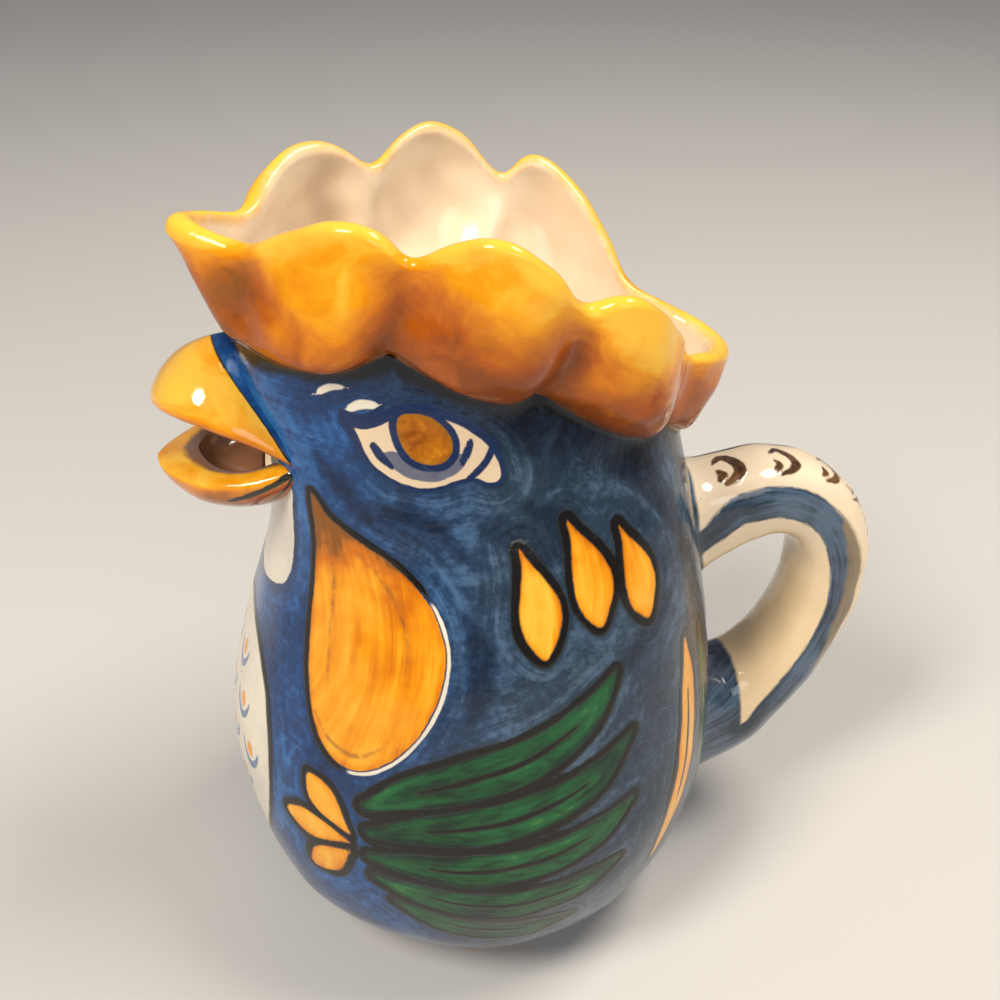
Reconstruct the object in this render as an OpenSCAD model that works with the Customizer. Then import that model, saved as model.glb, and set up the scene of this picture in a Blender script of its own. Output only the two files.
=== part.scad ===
// Rooster-shaped ceramic pitcher, millimetres.
// +Z up. The bird faces -X, its handle is at +X, and Y = 0 is its middle plane.
// Origin: centre of the foot ring, on the surface it stands on.

/* [Body] */
// Height over the highest point of the comb
pitcher_h = 163; // [140:1:190]
// Radius of the belly at its widest
belly_r = 52; // [50:0.5:54]
// Thickness of the body wall
wall = 4.2; // [3.8:0.1:4.8]
// Thickness of the floor over the foot
floor_t = 4.5; // [3.5:0.1:6]

/* [Foot] */
// Outer radius of the foot ring
foot_r = 31.5; // [28:0.5:33]
// Inner radius of the foot ring
foot_bore = 24; // [16:0.5:26]
// Height of the foot ring
foot_h = 3; // [2.4:0.1:4]

/* [Comb] */
// Radius of the rounded lip
lip_r = 1.9; // [1.6:0.1:2.2]
// How far the lobes puff out
comb_puff = 1; // [0.7:0.05:1.2]

/* [Beak] */
// Half width of the beak at the head
beak_w = 17; // [15.5:0.5:18]
// Height of the upper beak over the mouth line
beak_rise = 20; // [18:0.5:20]
// Depth of the lower beak under the mouth line
beak_drop = 13.5; // [12.5:0.5:15]

/* [Handle] */
// Thickness of the handle, as a share of the drawn one
handle_fat = 1; // [0.85:0.01:1.05]
// Width of the handle, as a share of the drawn one
handle_wide = 1; // [0.85:0.01:1.1]

/* [Hidden] */
blue = [0.17, 0.34, 0.60];
amber = [0.93, 0.62, 0.14];
glaze = [0.92, 0.88, 0.80];
clay = [0.72, 0.50, 0.38];

k_all = pitcher_h / 163;   // scale of the whole jug
k_r = belly_r / 52;        // scale of its radii
step = 0.1;                // one column every tenth of a lobe
cols = 80;                 // 8 lobes round the jug
gap = 0.04;                // play between a luted piece and the curved wall

// ---- curves ----
function tang(T, V, i) = let (n = len(T))
    i == 0 ? (V[1] - V[0]) / (T[1] - T[0]) :
    i == n - 1 ? (V[n-1] - V[n-2]) / (T[n-1] - T[n-2]) :
    let (a = T[i] - T[i-1], b = T[i+1] - T[i])
    ((V[i+1] - V[i]) * a / b + (V[i] - V[i-1]) * b / a) / (a + b);
function seg(t, T, i = 0) = (i >= len(T) - 2 || t < T[i+1]) ? i : seg(t, T, i + 1);
// smooth curve through the values V at the stations T
function spl(t, T, V) = let (
        c = min(max(t, T[0]), T[len(T)-1]), i = seg(c, T),
        h = T[i+1] - T[i], s = (c - T[i]) / h, s2 = s * s, s3 = s2 * s)
    (2*s3 - 3*s2 + 1) * V[i] + (s3 - 2*s2 + s) * h * tang(T, V, i)
    + (3*s2 - 2*s3) * V[i+1] + (s3 - s2) * h * tang(T, V, i + 1);
// closed curve through 8 points, at whole t
function ring8(V, t) = let (
        i = floor(t), s = t - i, a = V[(i+7) % 8], b = V[(i+8) % 8], c = V[(i+9) % 8], d = V[(i+10) % 8])
    0.5 * (2*b + (c - a)*s + (2*a - 5*b + 4*c - d)*s*s + (3*b - a - 3*c + d)*s*s*s);
// the same faces seen from the other side
function flip(F) = [for (f = F) [f[2], f[1], f[0]]];
function bez(a, b, c, d, t) = pow(1-t, 3)*a + 3*pow(1-t, 2)*t*b + 3*(1-t)*t*t*c + t*t*t*d;

// ---- body: egg-shaped belly, pinched throat, long oval head ----
BZ = [0, 3, 8, 16, 28, 42, 56, 70, 82, 92, 102, 112, 122, 132, 142];
B_FRONT = [31, 34, 39.5, 45.5, 50, 52, 51.3, 48, 44, 41, 39.5, 40, 41.5, 43, 44];
B_REAR = [31, 34, 39.5, 45.5, 50, 52, 51.5, 49.5, 47.5, 45.8, 44, 41.5, 39, 36.5, 34];
B_SIDE = [31, 34, 39.5, 45.5, 50, 52, 51, 48.5, 45.5, 42, 38, 34, 30.5, 28, 26.5];
function front_x(z) = -k_r * spl(z, BZ, B_FRONT);
function rear_x(z) = k_r * spl(z, BZ, B_REAR);
function side_y(z) = k_r * spl(z, BZ, B_SIDE);
function body_pt(th, z, off = 0) = let (f = front_x(z) + off, r = rear_x(z) - off, w = side_y(z) - off)
    [(f + r)/2 + (r - f)/2 * cos(th), w * sin(th), z];
// the wall in front of and behind the middle, over a point (y, z)
function wall_front(y, z, off = 0) = let (f = front_x(z) + off, r = rear_x(z) - off, w = side_y(z) - off)
    (f + r)/2 - (r - f)/2 * sqrt(max(0, 1 - pow(y/w, 2)));
function wall_rear(y, z, off = 0) = let (f = front_x(z) + off, r = rear_x(z) - off, w = side_y(z) - off)
    (f + r)/2 + (r - f)/2 * sqrt(max(0, 1 - pow(y/w, 2)));

// ---- comb: u counts the lobes, 0 front, 2 bird's right, 4 rear, 6 bird's left ----
HALF_U = [0, 0.5, 1, 1.5, 2, 2.5, 3, 3.5, 4];
HALF_TH = [180, 156, 126, 109, 88, 75, 54, 36, 0];
VALLEY = [[-38, 10, 153.5], [-13.5, 25.5, 155.5], [13.5, 33, 149.5], [36.5, 15.5, 131],
          [36, -15.5, 130], [13, -32, 148], [-13.5, -25.5, 155.5], [-38, -10, 153.5]];
CREST = [[-48.9, 0, 156.4], [-26.5, 22.5, 161.3], [0, 34, 161], [25.5, 32.5, 150.6],
         [49.5, 0, 125], [25, -31.5, 147], [0.5, -34.5, 160.3], [-24.5, -23, 161.5]];
// height where the comb springs from the head, at the valleys and under the crests
BASE_U = [0, 0.5, 1.5, 2.5, 3.5, 4];
BASE_V = [140, 140, 142, 134, 121, 118];
BASE_C = [138, 138, 133.5, 122.5, 110];
// shape of the outer face of each lobe: pull and rise at the base, pull and drop at the lip, share of the lip's radius
PULL_1 = [0.6, 9, 10, 10, 2.5];
RISE = [3.5, -1, -1, -1, -1];
PULL_2 = [-2.4, 2, 3, 3, -2];
DROP = [5, 9, 9, 9, 5];
LIP = [1.6, 1, 1, 1, 1.15];
function wrap(u) = u - 8 * floor(u / 8);
function fold(u) = let (v = wrap(u)) v > 4 ? 8 - v : v;
function side(u) = wrap(u) > 4 ? -1 : 1;
function theta(u) = side(u) * spl(fold(u), HALF_U, HALF_TH);
// 0 in a valley, 1 on a crest; e rounds the valley
function lobe(u, e) = let (s = sin(180 * (u + 0.5))) max(0, (sqrt(s*s + e*e) - e) / (sqrt(1 + e*e) - e));
function nearest(u) = floor(u + 0.5);
function rim(u) = let (v = wrap(u), k = nearest(v), c = CREST[k % 8])
    ring8(VALLEY, v + 7.5) + (c - ring8(VALLEY, k + 7.5)) * pow(lobe(v, 0.2), 0.85);
function base_z(u) = let (m = fold(u), k = nearest(m))
    spl(m, BASE_U, BASE_V) + (BASE_C[k] - spl(k, BASE_U, BASE_V)) * pow(lobe(m, 0.05), 0.8);
function out_dir(u) = let (t = theta(u), n = [30 * cos(t), 42 * sin(t), 0]) n / norm(n);
function per_lobe(u, C, v, l) = v + (spl(fold(u), [0, 1, 2, 3, 4], C) - v) * l;
N_WALL = 9;
// closed section of the comb wall: outer face up, lip, inner face down
function comb_section(u) = let (
        t = theta(u), zb = base_z(u), R = rim(u), n = out_dir(u), l = lobe(u, 0.12),
        k1 = comb_puff * per_lobe(u, PULL_1, 2, l), k2 = comb_puff * per_lobe(u, PULL_2, -1, l),
        h = per_lobe(u, DROP, 7, l), v = per_lobe(u, RISE, 1, l), q = lip_r * per_lobe(u, LIP, 1, l), up = [0, 0, 1],
        bo = body_pt(t, zb), bi = body_pt(t, zb, wall), ro = R + n*q, ri = R - n*q)
    concat(
        [for (i = [0:N_WALL]) bez(bo, bo + n*k1 + up*v, ro + n*k2 - up*h, ro, i/N_WALL)],
        [for (a = [45, 90, 135]) R + n*q*cos(a) + up*q*sin(a)],
        [for (i = [0:N_WALL]) bez(ri, ri + n*k2*0.8 - up*h, bi + n*k1*0.8 + up*3, bi, i/N_WALL)]);
// the wall of the comb from lobe position u0 to u1
module comb_run(u0, u1) {
    n = round((u1 - u0) / step);
    m = 2*N_WALL + 5;
    pts = [for (i = [0:n]) each comb_section(u0 + i*step)];
    function cap(o) = concat(
        [for (i = [0:N_WALL-1]) each [[o+i, o+i+1, o+m-2-i], [o+i, o+m-2-i, o+m-1-i]]],
        [[o+N_WALL, o+N_WALL+1, o+N_WALL+2], [o+N_WALL, o+N_WALL+2, o+N_WALL+3], [o+N_WALL, o+N_WALL+3, o+N_WALL+4]]);
    faces = concat(
        [for (i = [0:n-1], j = [0:m-1]) let (a = i*m + j, b = (i+1)*m + j, d = i*m + (j+1) % m, c = (i+1)*m + (j+1) % m)
            each [[a, b, c], [a, c, d]]],
        cap(0), flip(cap(n*m)));
    scale(k_all) polyhedron(points = pts, faces = faces, convexity = 10);
}

// ---- body shell ----
LOW_Z = [foot_h, 5, 8, 12, 16, 21, 27, 33, 40, 47, 54, 61, 68, 75, 81];
IN_Z = [foot_h + floor_t, foot_h + floor_t + 0.8, foot_h + floor_t + 3, foot_h + floor_t + 7, 20, 27, 34, 42, 50, 58, 66, 74, 81];
IN_OFF = [14, 8.5, 5.8, 4.6, 4.2, 4.2, 4.2, 4.2, 4.2, 4.2, 4.2, 4.2, 4.2];
UP = 16;                   // rows from z = 86 up to the comb
Z_UP = 86;
// throat hole behind the beak: 8 columns by 5 rows, rounded to an oval
HOLE_U = 0.4;
HOLE_K = 9.5;
HOLE_H = 2.5;
function round_hole(p, q) = let (m = max(abs(p), abs(q)))
    m >= 2.2 || m < 0.001 ? [p, q] :
    let (k = m <= 1 ? 1 : (2.2 - m) / 1.2, x = p/m, y = q/m, d = [x*sqrt(1 - y*y/2), y*sqrt(1 - x*x/2)] * m)
    [p + (d[0] - p)*k, q + (d[1] - q)*k];
function upper_pt(i, row, off) = let (
        u = i*step > 4 ? i*step - 8 : i*step, r = round_hole(u/HOLE_U, (row - HOLE_K)/HOLE_H),
        v = r[0]*HOLE_U, w = HOLE_K + r[1]*HOLE_H)
    body_pt(theta(v), Z_UP + (base_z(v) - Z_UP)*w/UP, off);
module shell() {
    no = len(LOW_Z) + UP + 1;
    ni = len(IN_Z) + UP + 1;
    lo = len(LOW_Z);
    li = len(IN_Z);
    pts = concat(
        [for (j = [0:lo-1], i = [0:cols-1]) body_pt(theta(i*step), LOW_Z[j])],
        [for (j = [0:UP], i = [0:cols-1]) upper_pt(i, j, 0)],
        [for (j = [0:li-1], i = [0:cols-1]) body_pt(theta(i*step), IN_Z[j], IN_OFF[j] - 4.2 + wall)],
        [for (j = [0:UP], i = [0:cols-1]) upper_pt(i, j, wall)],
        [[0, 0, foot_h], [0, 0, foot_h + floor_t - 0.4]]);
    I = no * cols;
    last = (no + ni) * cols;
    function at(o, j, i) = o + j*cols + (i + cols) % cols;
    function is_hole(j, i, low) = (i < 4 || i >= cols - 4) && j - low >= 7 && j - low < 12;
    faces = concat(
        [for (j = [0:no-2], i = [0:cols-1]) if (!is_hole(j, i, lo))
            let (a = at(0, j, i), b = at(0, j, i+1), c = at(0, j+1, i+1), d = at(0, j+1, i)) each [[a, c, b], [a, d, c]]],
        [for (j = [0:ni-2], i = [0:cols-1]) if (!is_hole(j, i, li))
            let (a = at(I, j, i), b = at(I, j, i+1), c = at(I, j+1, i+1), d = at(I, j+1, i)) each [[a, b, c], [a, c, d]]],
        // upper edge, under the comb
        [for (i = [0:cols-1]) let (a = at(I, ni-1, i), b = at(I, ni-1, i+1), c = at(0, no-1, i+1), d = at(0, no-1, i))
            each [[a, b, c], [a, c, d]]],
        // underside and floor
        [for (i = [0:cols-1]) each [[last, at(0, 0, i), at(0, 0, i+1)], [last + 1, at(I, 0, i+1), at(I, 0, i)]]],
        // wall of the throat hole
        [for (i = [-4:3]) each [
            [at(0, lo+7, i), at(I, li+7, i), at(I, li+7, i+1)], [at(0, lo+7, i), at(I, li+7, i+1), at(0, lo+7, i+1)],
            [at(0, lo+12, i), at(I, li+12, i+1), at(I, li+12, i)], [at(0, lo+12, i), at(0, lo+12, i+1), at(I, li+12, i+1)]]],
        [for (j = [7:11]) each [
            [at(0, lo+j, -4), at(I, li+j+1, -4), at(I, li+j, -4)], [at(0, lo+j, -4), at(0, lo+j+1, -4), at(I, li+j+1, -4)],
            [at(0, lo+j, 4), at(I, li+j, 4), at(I, li+j+1, 4)], [at(0, lo+j, 4), at(I, li+j+1, 4), at(0, lo+j+1, 4)]]]);
    scale(k_all) polyhedron(points = pts, faces = flip(faces), convexity = 10);
}

// ---- beak halves: hollow hoods that shrink from a root on the head to a tip ----
// w half width, zc mouth line, h rise (negative for the lower half), T tip, e0 and e1 section at root and tip, r ridge
function beak_pt(w, zc, h, T, e0, e1, r, s, a) = let (
        p = pow(1 - pow(s, 2.4), 1/1.7), e = e0 + (e1 - e0)*pow(s, 0.7), ca = cos(a), sa = max(0, sin(a)),
        y0 = w * ca * pow(abs(ca), e0 - 1), z0 = zc + h*pow(sa, e0),
        x0 = wall_front(y0, z0) - gap,
        y = w * ca * pow(max(abs(ca), 0.0001), e - 1) * p,
        zl = zc + (T[2] - zc)*(1 - pow(1 - s, 2.2)),
        zt = T[2] + (zc + h - T[2])*pow(1 - pow(s, r), 1/1.7))
    [T[0] + (x0 - T[0])*(1 - s), y, zl + (zt - zl)*pow(sa, e)];
BS = 12;                   // stations along the beak
BA = 20;                   // steps across it
function beak_s(j) = 1 - pow(1 - j/BS, 1.6);
// outer and inner faces given as [w, zc, h, T, e0, e1, r]
module beak_half(o, n, lower) {
    q = BA + 1;
    pts = concat(
        [for (j = [0:BS-1], i = [0:BA]) beak_pt(o[0], o[1], o[2], o[3], o[4], o[5], o[6], beak_s(j), 180*i/BA)], [o[3]],
        [for (j = [0:BS-1], i = [0:BA]) beak_pt(n[0], n[1], n[2], n[3], n[4], n[5], n[6], beak_s(j), 180*i/BA)], [n[3]]);
    O = BS*q;              // index of the outer tip
    N = O + 1;
    T = N + BS*q;
    raw = concat(
        [for (j = [0:BS-2], i = [0:BA-1]) let (a = j*q + i, b = a + 1, c = a + q + 1, d = a + q) each [[a, b, c], [a, c, d]]],
        [for (i = [0:BA-1]) [(BS-1)*q + i, (BS-1)*q + i + 1, O]],
        [for (j = [0:BS-2], i = [0:BA-1]) let (a = N + j*q + i, b = a + 1, c = a + q + 1, d = a + q) each [[a, c, b], [a, d, c]]],
        [for (i = [0:BA-1]) [N + (BS-1)*q + i + 1, N + (BS-1)*q + i, T]],
        // root on the head
        [for (i = [0:BA-1]) each [[i + 1, i, N + i], [i + 1, N + i, N + i + 1]]],
        // the two mouth edges
        [for (j = [0:BS-2]) let (a = j*q, b = a + q) each [[a, b, N + b], [a, N + b, N + a]]],
        [[(BS-1)*q, O, T], [(BS-1)*q, T, N + (BS-1)*q]],
        [for (j = [0:BS-2]) let (a = j*q + BA, b = a + q) each [[a, N + b, b], [a, N + a, N + b]]],
        [[(BS-1)*q + BA, T, O], [(BS-1)*q + BA, N + (BS-1)*q + BA, T]]);
    scale(k_all) polyhedron(points = pts, faces = lower ? flip(raw) : raw, convexity = 10);
}

// ---- handle: thick oval loop, its ends spread on the wall ----
H_PATH = [[49, 87.3], [56, 89.3], [64, 90.2], [71.5, 88.4], [77, 83.8], [80.3, 77], [81, 69], [79.8, 60.5], [76, 51.5], [69.5, 42], [62.5, 35.5], [55.5, 32.5]];
H_THICK = [23, 19.5, 18, 17.5, 17.2, 17, 17, 17, 17.3, 18.5, 22.5, 30];
H_HALF = [10.3, 9.8, 9.6, 9.5, 9.5, 9.5, 9.5, 9.6, 9.8, 10.3, 11.3, 13];
HN = 32;                   // stations along the path
HC = 24;                   // points round it
function H_K() = [for (i = [0:len(H_PATH)-1]) i];
function sgnpow(v, e) = sign(v) * pow(abs(v), e);
function h_ring(s) = let (
        K = H_K(), p = spl(s, K, H_PATH), t = handle_fat * spl(s, K, H_THICK)/2, w = handle_wide * spl(s, K, H_HALF),
        d = spl(s + 0.02, K, H_PATH) - spl(s - 0.02, K, H_PATH), m = [-d[1], d[0]] / norm(d))
    [for (i = [0:HC-1]) let (a = 360*i/HC, n = t*sgnpow(sin(a), 0.8)) [p[0] + m[0]*n, w*sgnpow(cos(a), 0.8), p[1] + m[1]*n]];
// foot of the handle on the wall: half width w, half height h, centre z, shrunk by f
function h_foot(w, h, z, f) = [for (i = [0:HC-1]) let (
        a = 360*i/HC, y = f*handle_wide*w*sgnpow(cos(a), 0.8), v = z + f*handle_fat*h*sgnpow(sin(a), 0.8))
    [wall_rear(y, v) + gap, y, v]];
module handle_loop() {
    shrink = [0.25, 0.5, 0.75, 1];
    rings = concat(
        [for (f = shrink) h_foot(11, 13, 86.5, f)],
        [for (j = [0:HN]) h_ring(0.25 + (10.3 - 0.25)*j/HN)],
        [for (f = [1, 0.75, 0.5, 0.25]) h_foot(14, -17, 31.5, f)]);
    n = len(rings);
    pts = concat([for (r = rings) each r], [[wall_rear(0, 86.5) + gap, 0, 86.5], [wall_rear(0, 31.5) + gap, 0, 31.5]]);
    a0 = n*HC;
    faces = concat(
        [for (j = [0:n-2], i = [0:HC-1]) let (a = j*HC + i, b = j*HC + (i+1) % HC, c = b + HC, d = a + HC) each [[a, b, c], [a, c, d]]],
        [for (i = [0:HC-1]) [a0, (i+1) % HC, i]],
        [for (i = [0:HC-1]) [a0 + 1, (n-1)*HC + i, (n-1)*HC + (i+1) % HC]]);
    scale(k_all) polyhedron(points = pts, faces = flip(faces), convexity = 10);
}

// ---- the pieces ----
module body_shell() { color(blue) shell(); }
module foot_ring() {
    color(clay) scale(k_all) rotate_extrude($fn = 96)
        polygon([[foot_bore, 0.6], [foot_bore + 0.8, 0], [foot_r - 1.4, 0], [foot_r - 0.4, 0.8], [foot_r, foot_h], [foot_bore, foot_h]]);
}
module comb_front() { color(amber) comb_run(-0.5, 0.5); }
module comb_right() { color(amber) comb_run(0.5, 3.5); }
module comb_rear() { color(amber) comb_run(3.5, 4.5); }
module comb_left() { color(amber) comb_run(4.5, 7.5); }
module upper_beak() {
    color(amber) beak_half(
        [beak_w, 117, beak_rise, [-58.6, 0, 125.5], 1.6, 1, 1.5],
        [beak_w - 3.5, 117, beak_rise - 6, [-53, 0, 124.5], 1.6, 1, 2.4], false);
}
module lower_beak() {
    color(amber) beak_half(
        [beak_w, 116.5, -beak_drop, [-59, 0, 113.5], 1.2, 0.9, 2.2],
        [beak_w - 5.5, 116.5, 4.3 - beak_drop, [-51.5, 0, 114.3], 1.1, 0.9, 2.4], true);
}
module handle() { color(glaze) handle_loop(); }

body_shell();
foot_ring();
comb_front();
comb_left();
comb_right();
comb_rear();
upper_beak();
lower_beak();
handle();
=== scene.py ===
import math
import bpy
import numpy as np
from mathutils import Matrix, Vector


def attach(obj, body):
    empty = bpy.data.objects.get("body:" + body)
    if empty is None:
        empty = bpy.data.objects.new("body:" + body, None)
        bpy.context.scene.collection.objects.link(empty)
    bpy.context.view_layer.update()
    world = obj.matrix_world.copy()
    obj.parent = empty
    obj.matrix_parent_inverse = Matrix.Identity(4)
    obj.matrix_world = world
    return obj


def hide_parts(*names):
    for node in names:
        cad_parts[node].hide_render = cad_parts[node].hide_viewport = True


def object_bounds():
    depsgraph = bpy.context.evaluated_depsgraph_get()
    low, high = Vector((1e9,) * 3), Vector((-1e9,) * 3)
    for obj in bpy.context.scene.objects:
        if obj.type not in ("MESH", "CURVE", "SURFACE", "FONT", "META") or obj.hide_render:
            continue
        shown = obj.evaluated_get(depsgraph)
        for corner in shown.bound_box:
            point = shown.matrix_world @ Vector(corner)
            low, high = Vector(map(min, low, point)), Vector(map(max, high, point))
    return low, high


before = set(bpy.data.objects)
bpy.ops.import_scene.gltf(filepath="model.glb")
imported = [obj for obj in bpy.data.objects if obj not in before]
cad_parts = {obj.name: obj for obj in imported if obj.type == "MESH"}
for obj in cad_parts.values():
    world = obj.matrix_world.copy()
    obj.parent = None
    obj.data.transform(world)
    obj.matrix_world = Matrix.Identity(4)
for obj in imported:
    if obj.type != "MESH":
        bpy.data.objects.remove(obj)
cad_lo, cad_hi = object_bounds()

# Millimetres throughout, turned into metres when a mesh is made.
# The bird faces -X, its handle is at +X, +Y is its right side, and it stands on z = 0.
BOX_LO = np.array(cad_lo) * 1000
BOX_HI = np.array(cad_hi) * 1000
PI = math.pi


# ------------------------------------------------------------------ curves
def spl(t, T, V):
    """smooth curve through the values V at the stations T"""
    T = np.asarray(T, float)
    V = np.asarray(V, float)
    t = np.clip(np.asarray(t, float), T[0], T[-1])
    d = np.diff(T)
    s = np.diff(V, axis=0)
    dd = d[:, None] if V.ndim > 1 else d
    m = np.empty_like(V)
    m[0] = s[0] / dd[0]
    m[-1] = s[-1] / dd[-1]
    m[1:-1] = (s[1:] * dd[:-1] / dd[1:] + s[:-1] * dd[1:] / dd[:-1]) / (dd[:-1] + dd[1:])
    i = np.clip(np.searchsorted(T, t, side="right") - 1, 0, len(T) - 2)
    h = d[i]
    x = (t - T[i]) / h
    if V.ndim > 1:
        h = h[..., None]
        x = x[..., None]
    x2 = x * x
    x3 = x2 * x
    return (2*x3 - 3*x2 + 1)*V[i] + (x3 - 2*x2 + x)*h*m[i] + (3*x2 - 2*x3)*V[i+1] + (x3 - x2)*h*m[i+1]


def ring8(V, t):
    V = np.asarray(V, float)
    i = np.floor(t).astype(int)
    s = (t - i)[..., None]
    a, b, c, d = (V[(i + k) % 8] for k in (7, 8, 9, 10))
    return 0.5*(2*b + (c - a)*s + (2*a - 5*b + 4*c - d)*s*s + (3*b - a - 3*c + d)*s*s*s)


def bez(a, b, c, d, t):
    return (1-t)**3*a + 3*(1-t)**2*t*b + 3*(1-t)*t*t*c + t**3*d


def ease(x, lo, hi):
    """0 below lo, 1 above hi, smooth between; lo may be the larger"""
    t = np.clip((np.asarray(x, float) - lo) / (hi - lo), 0, 1)
    return t*t*(3 - 2*t)


def closed_curve(pts, n=8):
    """smooth closed curve through pts"""
    P = np.asarray(pts, float)
    m = len(P)
    t = np.arange(m*n) / n
    i = t.astype(int)
    s = (t - i)[:, None]
    a, b, c, d = (P[(i + k) % m] for k in (-1, 0, 1, 2))
    return 0.5*(2*b + (c - a)*s + (2*a - 5*b + 4*c - d)*s*s + (3*b - a - 3*c + d)*s*s*s)


def open_curve(pts, n=8):
    P = np.asarray(pts, float)
    k = np.arange(len(P), dtype=float)
    t = np.linspace(0, len(P) - 1, (len(P) - 1)*n + 1)
    return spl(t, k, P)


def lumps(P, seed, size):
    """soft hand-made unevenness, from about -1 to 1, over points P"""
    g = np.random.default_rng(seed)
    out = np.zeros(P.shape[:-1])
    for k in range(7):
        v = g.normal(size=3)
        v *= 2*PI / (size*(0.7 + 0.6*g.random())) / np.linalg.norm(v)
        out += np.sin(P @ v + g.random()*2*PI) / 3.2
    return out


# ------------------------------------------------------------------ body
BZ = [0, 3, 8, 16, 28, 42, 56, 70, 82, 92, 102, 112, 122, 132, 142]
B_FRONT = [31, 34, 39.5, 45.5, 50, 52, 51.3, 48, 44, 41, 39.5, 40, 41.5, 43, 44]
B_REAR = [31, 34, 39.5, 45.5, 50, 52, 51.5, 49.5, 47.5, 45.8, 44, 41.5, 39, 36.5, 34]
B_SIDE = [31, 34, 39.5, 45.5, 50, 52, 51, 48.5, 45.5, 42, 38, 34, 30.5, 28, 26.5]
WALL, FOOT_H, FLOOR_Z = 4.2, 3.0, 7.5


def oval(z, off):
    f = -spl(z, BZ, B_FRONT) + off
    r = spl(z, BZ, B_REAR) - off
    return (f + r)/2, (r - f)/2, spl(z, BZ, B_SIDE) - off


def body_pt(th, z, off=0.0):
    th, z = np.broadcast_arrays(np.asarray(th, float), np.asarray(z, float))
    m, a, w = oval(z, off)
    t = np.radians(th)
    return np.stack([m + a*np.cos(t), w*np.sin(t), z], -1)


def wall_x(y, z, way, off=0.0):
    """x of the wall in front (-1) or behind (+1) over a point (y, z)"""
    m, a, w = oval(z, off)
    return m + way*a*np.sqrt(np.maximum(0, 1 - (y/w)**2))


# ------------------------------------------------------------------ comb
HALF_U = [0, 0.5, 1, 1.5, 2, 2.5, 3, 3.5, 4]
HALF_TH = [180, 156, 126, 109, 88, 75, 54, 36, 0]
VALLEY = [[-38, 10, 153.5], [-13.5, 25.5, 155.5], [13.5, 33, 149.5], [36.5, 15.5, 131],
          [36, -15.5, 130], [13, -32, 148], [-13.5, -25.5, 155.5], [-38, -10, 153.5]]
CREST = np.array([[-48.9, 0, 156.4], [-26.5, 22.5, 161.3], [0, 34, 161], [25.5, 32.5, 150.6],
                  [49.5, 0, 125], [25, -31.5, 147], [0.5, -34.5, 160.3], [-24.5, -23, 161.5]])
BASE_U = [0, 0.5, 1.5, 2.5, 3.5, 4]
BASE_V = [140, 140, 142, 134, 121, 118]
BASE_C = np.array([138, 138, 133.5, 122.5, 110])
PULL_1 = [0.6, 9, 10, 10, 2.5]
RISE = [3.5, -1, -1, -1, -1]
PULL_2 = [-2.4, 2, 3, 3, -2]
DROP = [5, 9, 9, 9, 5]
LIP = [1.6, 1, 1, 1, 1.15]
LIP_R = 1.9
UP = np.array([0, 0, 1.0])


def fold(u):
    v = np.mod(u, 8)
    return np.where(v > 4, 8 - v, v)


def theta(u):
    return np.where(np.mod(u, 8) > 4, -1, 1) * spl(fold(u), HALF_U, HALF_TH)


def lobe(u, e):
    s = np.sin(PI*(u + 0.5))
    return np.maximum(0, (np.sqrt(s*s + e*e) - e) / (math.sqrt(1 + e*e) - e))


def rim(u):
    v = np.mod(u, 8)
    k = np.floor(v + 0.5)
    c = CREST[k.astype(int) % 8]
    return ring8(VALLEY, v + 7.5) + (c - ring8(VALLEY, k + 7.5)) * (lobe(v, 0.2)**0.85)[..., None]


def base_z(u):
    m = fold(u)
    k = np.floor(m + 0.5)
    v = spl(m, BASE_U, BASE_V)
    return v + (BASE_C[k.astype(int)] - spl(k, BASE_U, BASE_V)) * lobe(m, 0.05)**0.8


def out_dir(u):
    t = np.radians(theta(u))
    n = np.stack([30*np.cos(t), 42*np.sin(t), 0*t], -1)
    return n / np.linalg.norm(n, axis=-1, keepdims=True)


def per_lobe(u, C, v, l):
    return v + (spl(fold(u), [0, 1, 2, 3, 4], C) - v)*l


# ------------------------------------------------------------------ body and comb as one sheet of rows
COLS = 400
LOBE = COLS // 8
u = np.arange(COLS) * 8 / COLS
uu = np.where(u > 4, u - 8, u)
rows, ring = [], []        # each row is COLS points; ring says where it lies on the comb


def add(P, r=-1.0):
    rows.append(np.array(P, float))
    ring.append(r)


bottom = body_pt(theta(u), FOOT_H)
for f in (0.3, 0.6, 0.8, 0.9, 0.95, 0.97, 0.985):
    add(bottom*[f, f, 1])
R_SIDE = len(rows)
for z in np.concatenate([np.array([3, 3.4, 3.8, 4.3, 5]), np.linspace(6, 86, 88, endpoint=False)]):
    add(body_pt(theta(u), z))

HOLE_U, HOLE_K, HOLE_H = 0.4, 9.5, 2.5
HC_N, HR_N = round(HOLE_U*LOBE), 24        # columns to each side of the throat hole's middle, rows across it


def round_hole(p, q):
    m = np.maximum(np.abs(p), np.abs(q))
    k = np.where(m <= 1, 1.0, (2.2 - m)/1.2)
    k = np.where(m >= 2.2, 0.0, k)
    mm = np.maximum(m, 1e-6)
    x, y = p/mm, q/mm
    dx, dy = x*np.sqrt(1 - y*y/2)*mm, y*np.sqrt(1 - x*x/2)*mm
    return p + (dx - p)*k, q + (dy - q)*k


def upper_row(w0, off):
    p, q = round_hole(uu/HOLE_U, (w0 - HOLE_K)/HOLE_H + 0*uu)
    v, w = p*HOLE_U, HOLE_K + q*HOLE_H
    return body_pt(theta(v), 86 + (base_z(v) - 86)*w/16, off)


W_LOW = np.linspace(0, 7, 19, endpoint=False)
W_HOLE = np.linspace(7, 12, HR_N + 1)
W_TOP = 12 + 4*(1 - (1 - np.linspace(0, 1, 23)[1:])**1.25)
R_HOLE_OUT = len(rows) + len(W_LOW)
for w in np.concatenate([W_LOW, W_HOLE, W_TOP]):
    add(upper_row(w, 0.0))
R_BO = len(rows) - 1                  # where the comb springs from the head, outside

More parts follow.
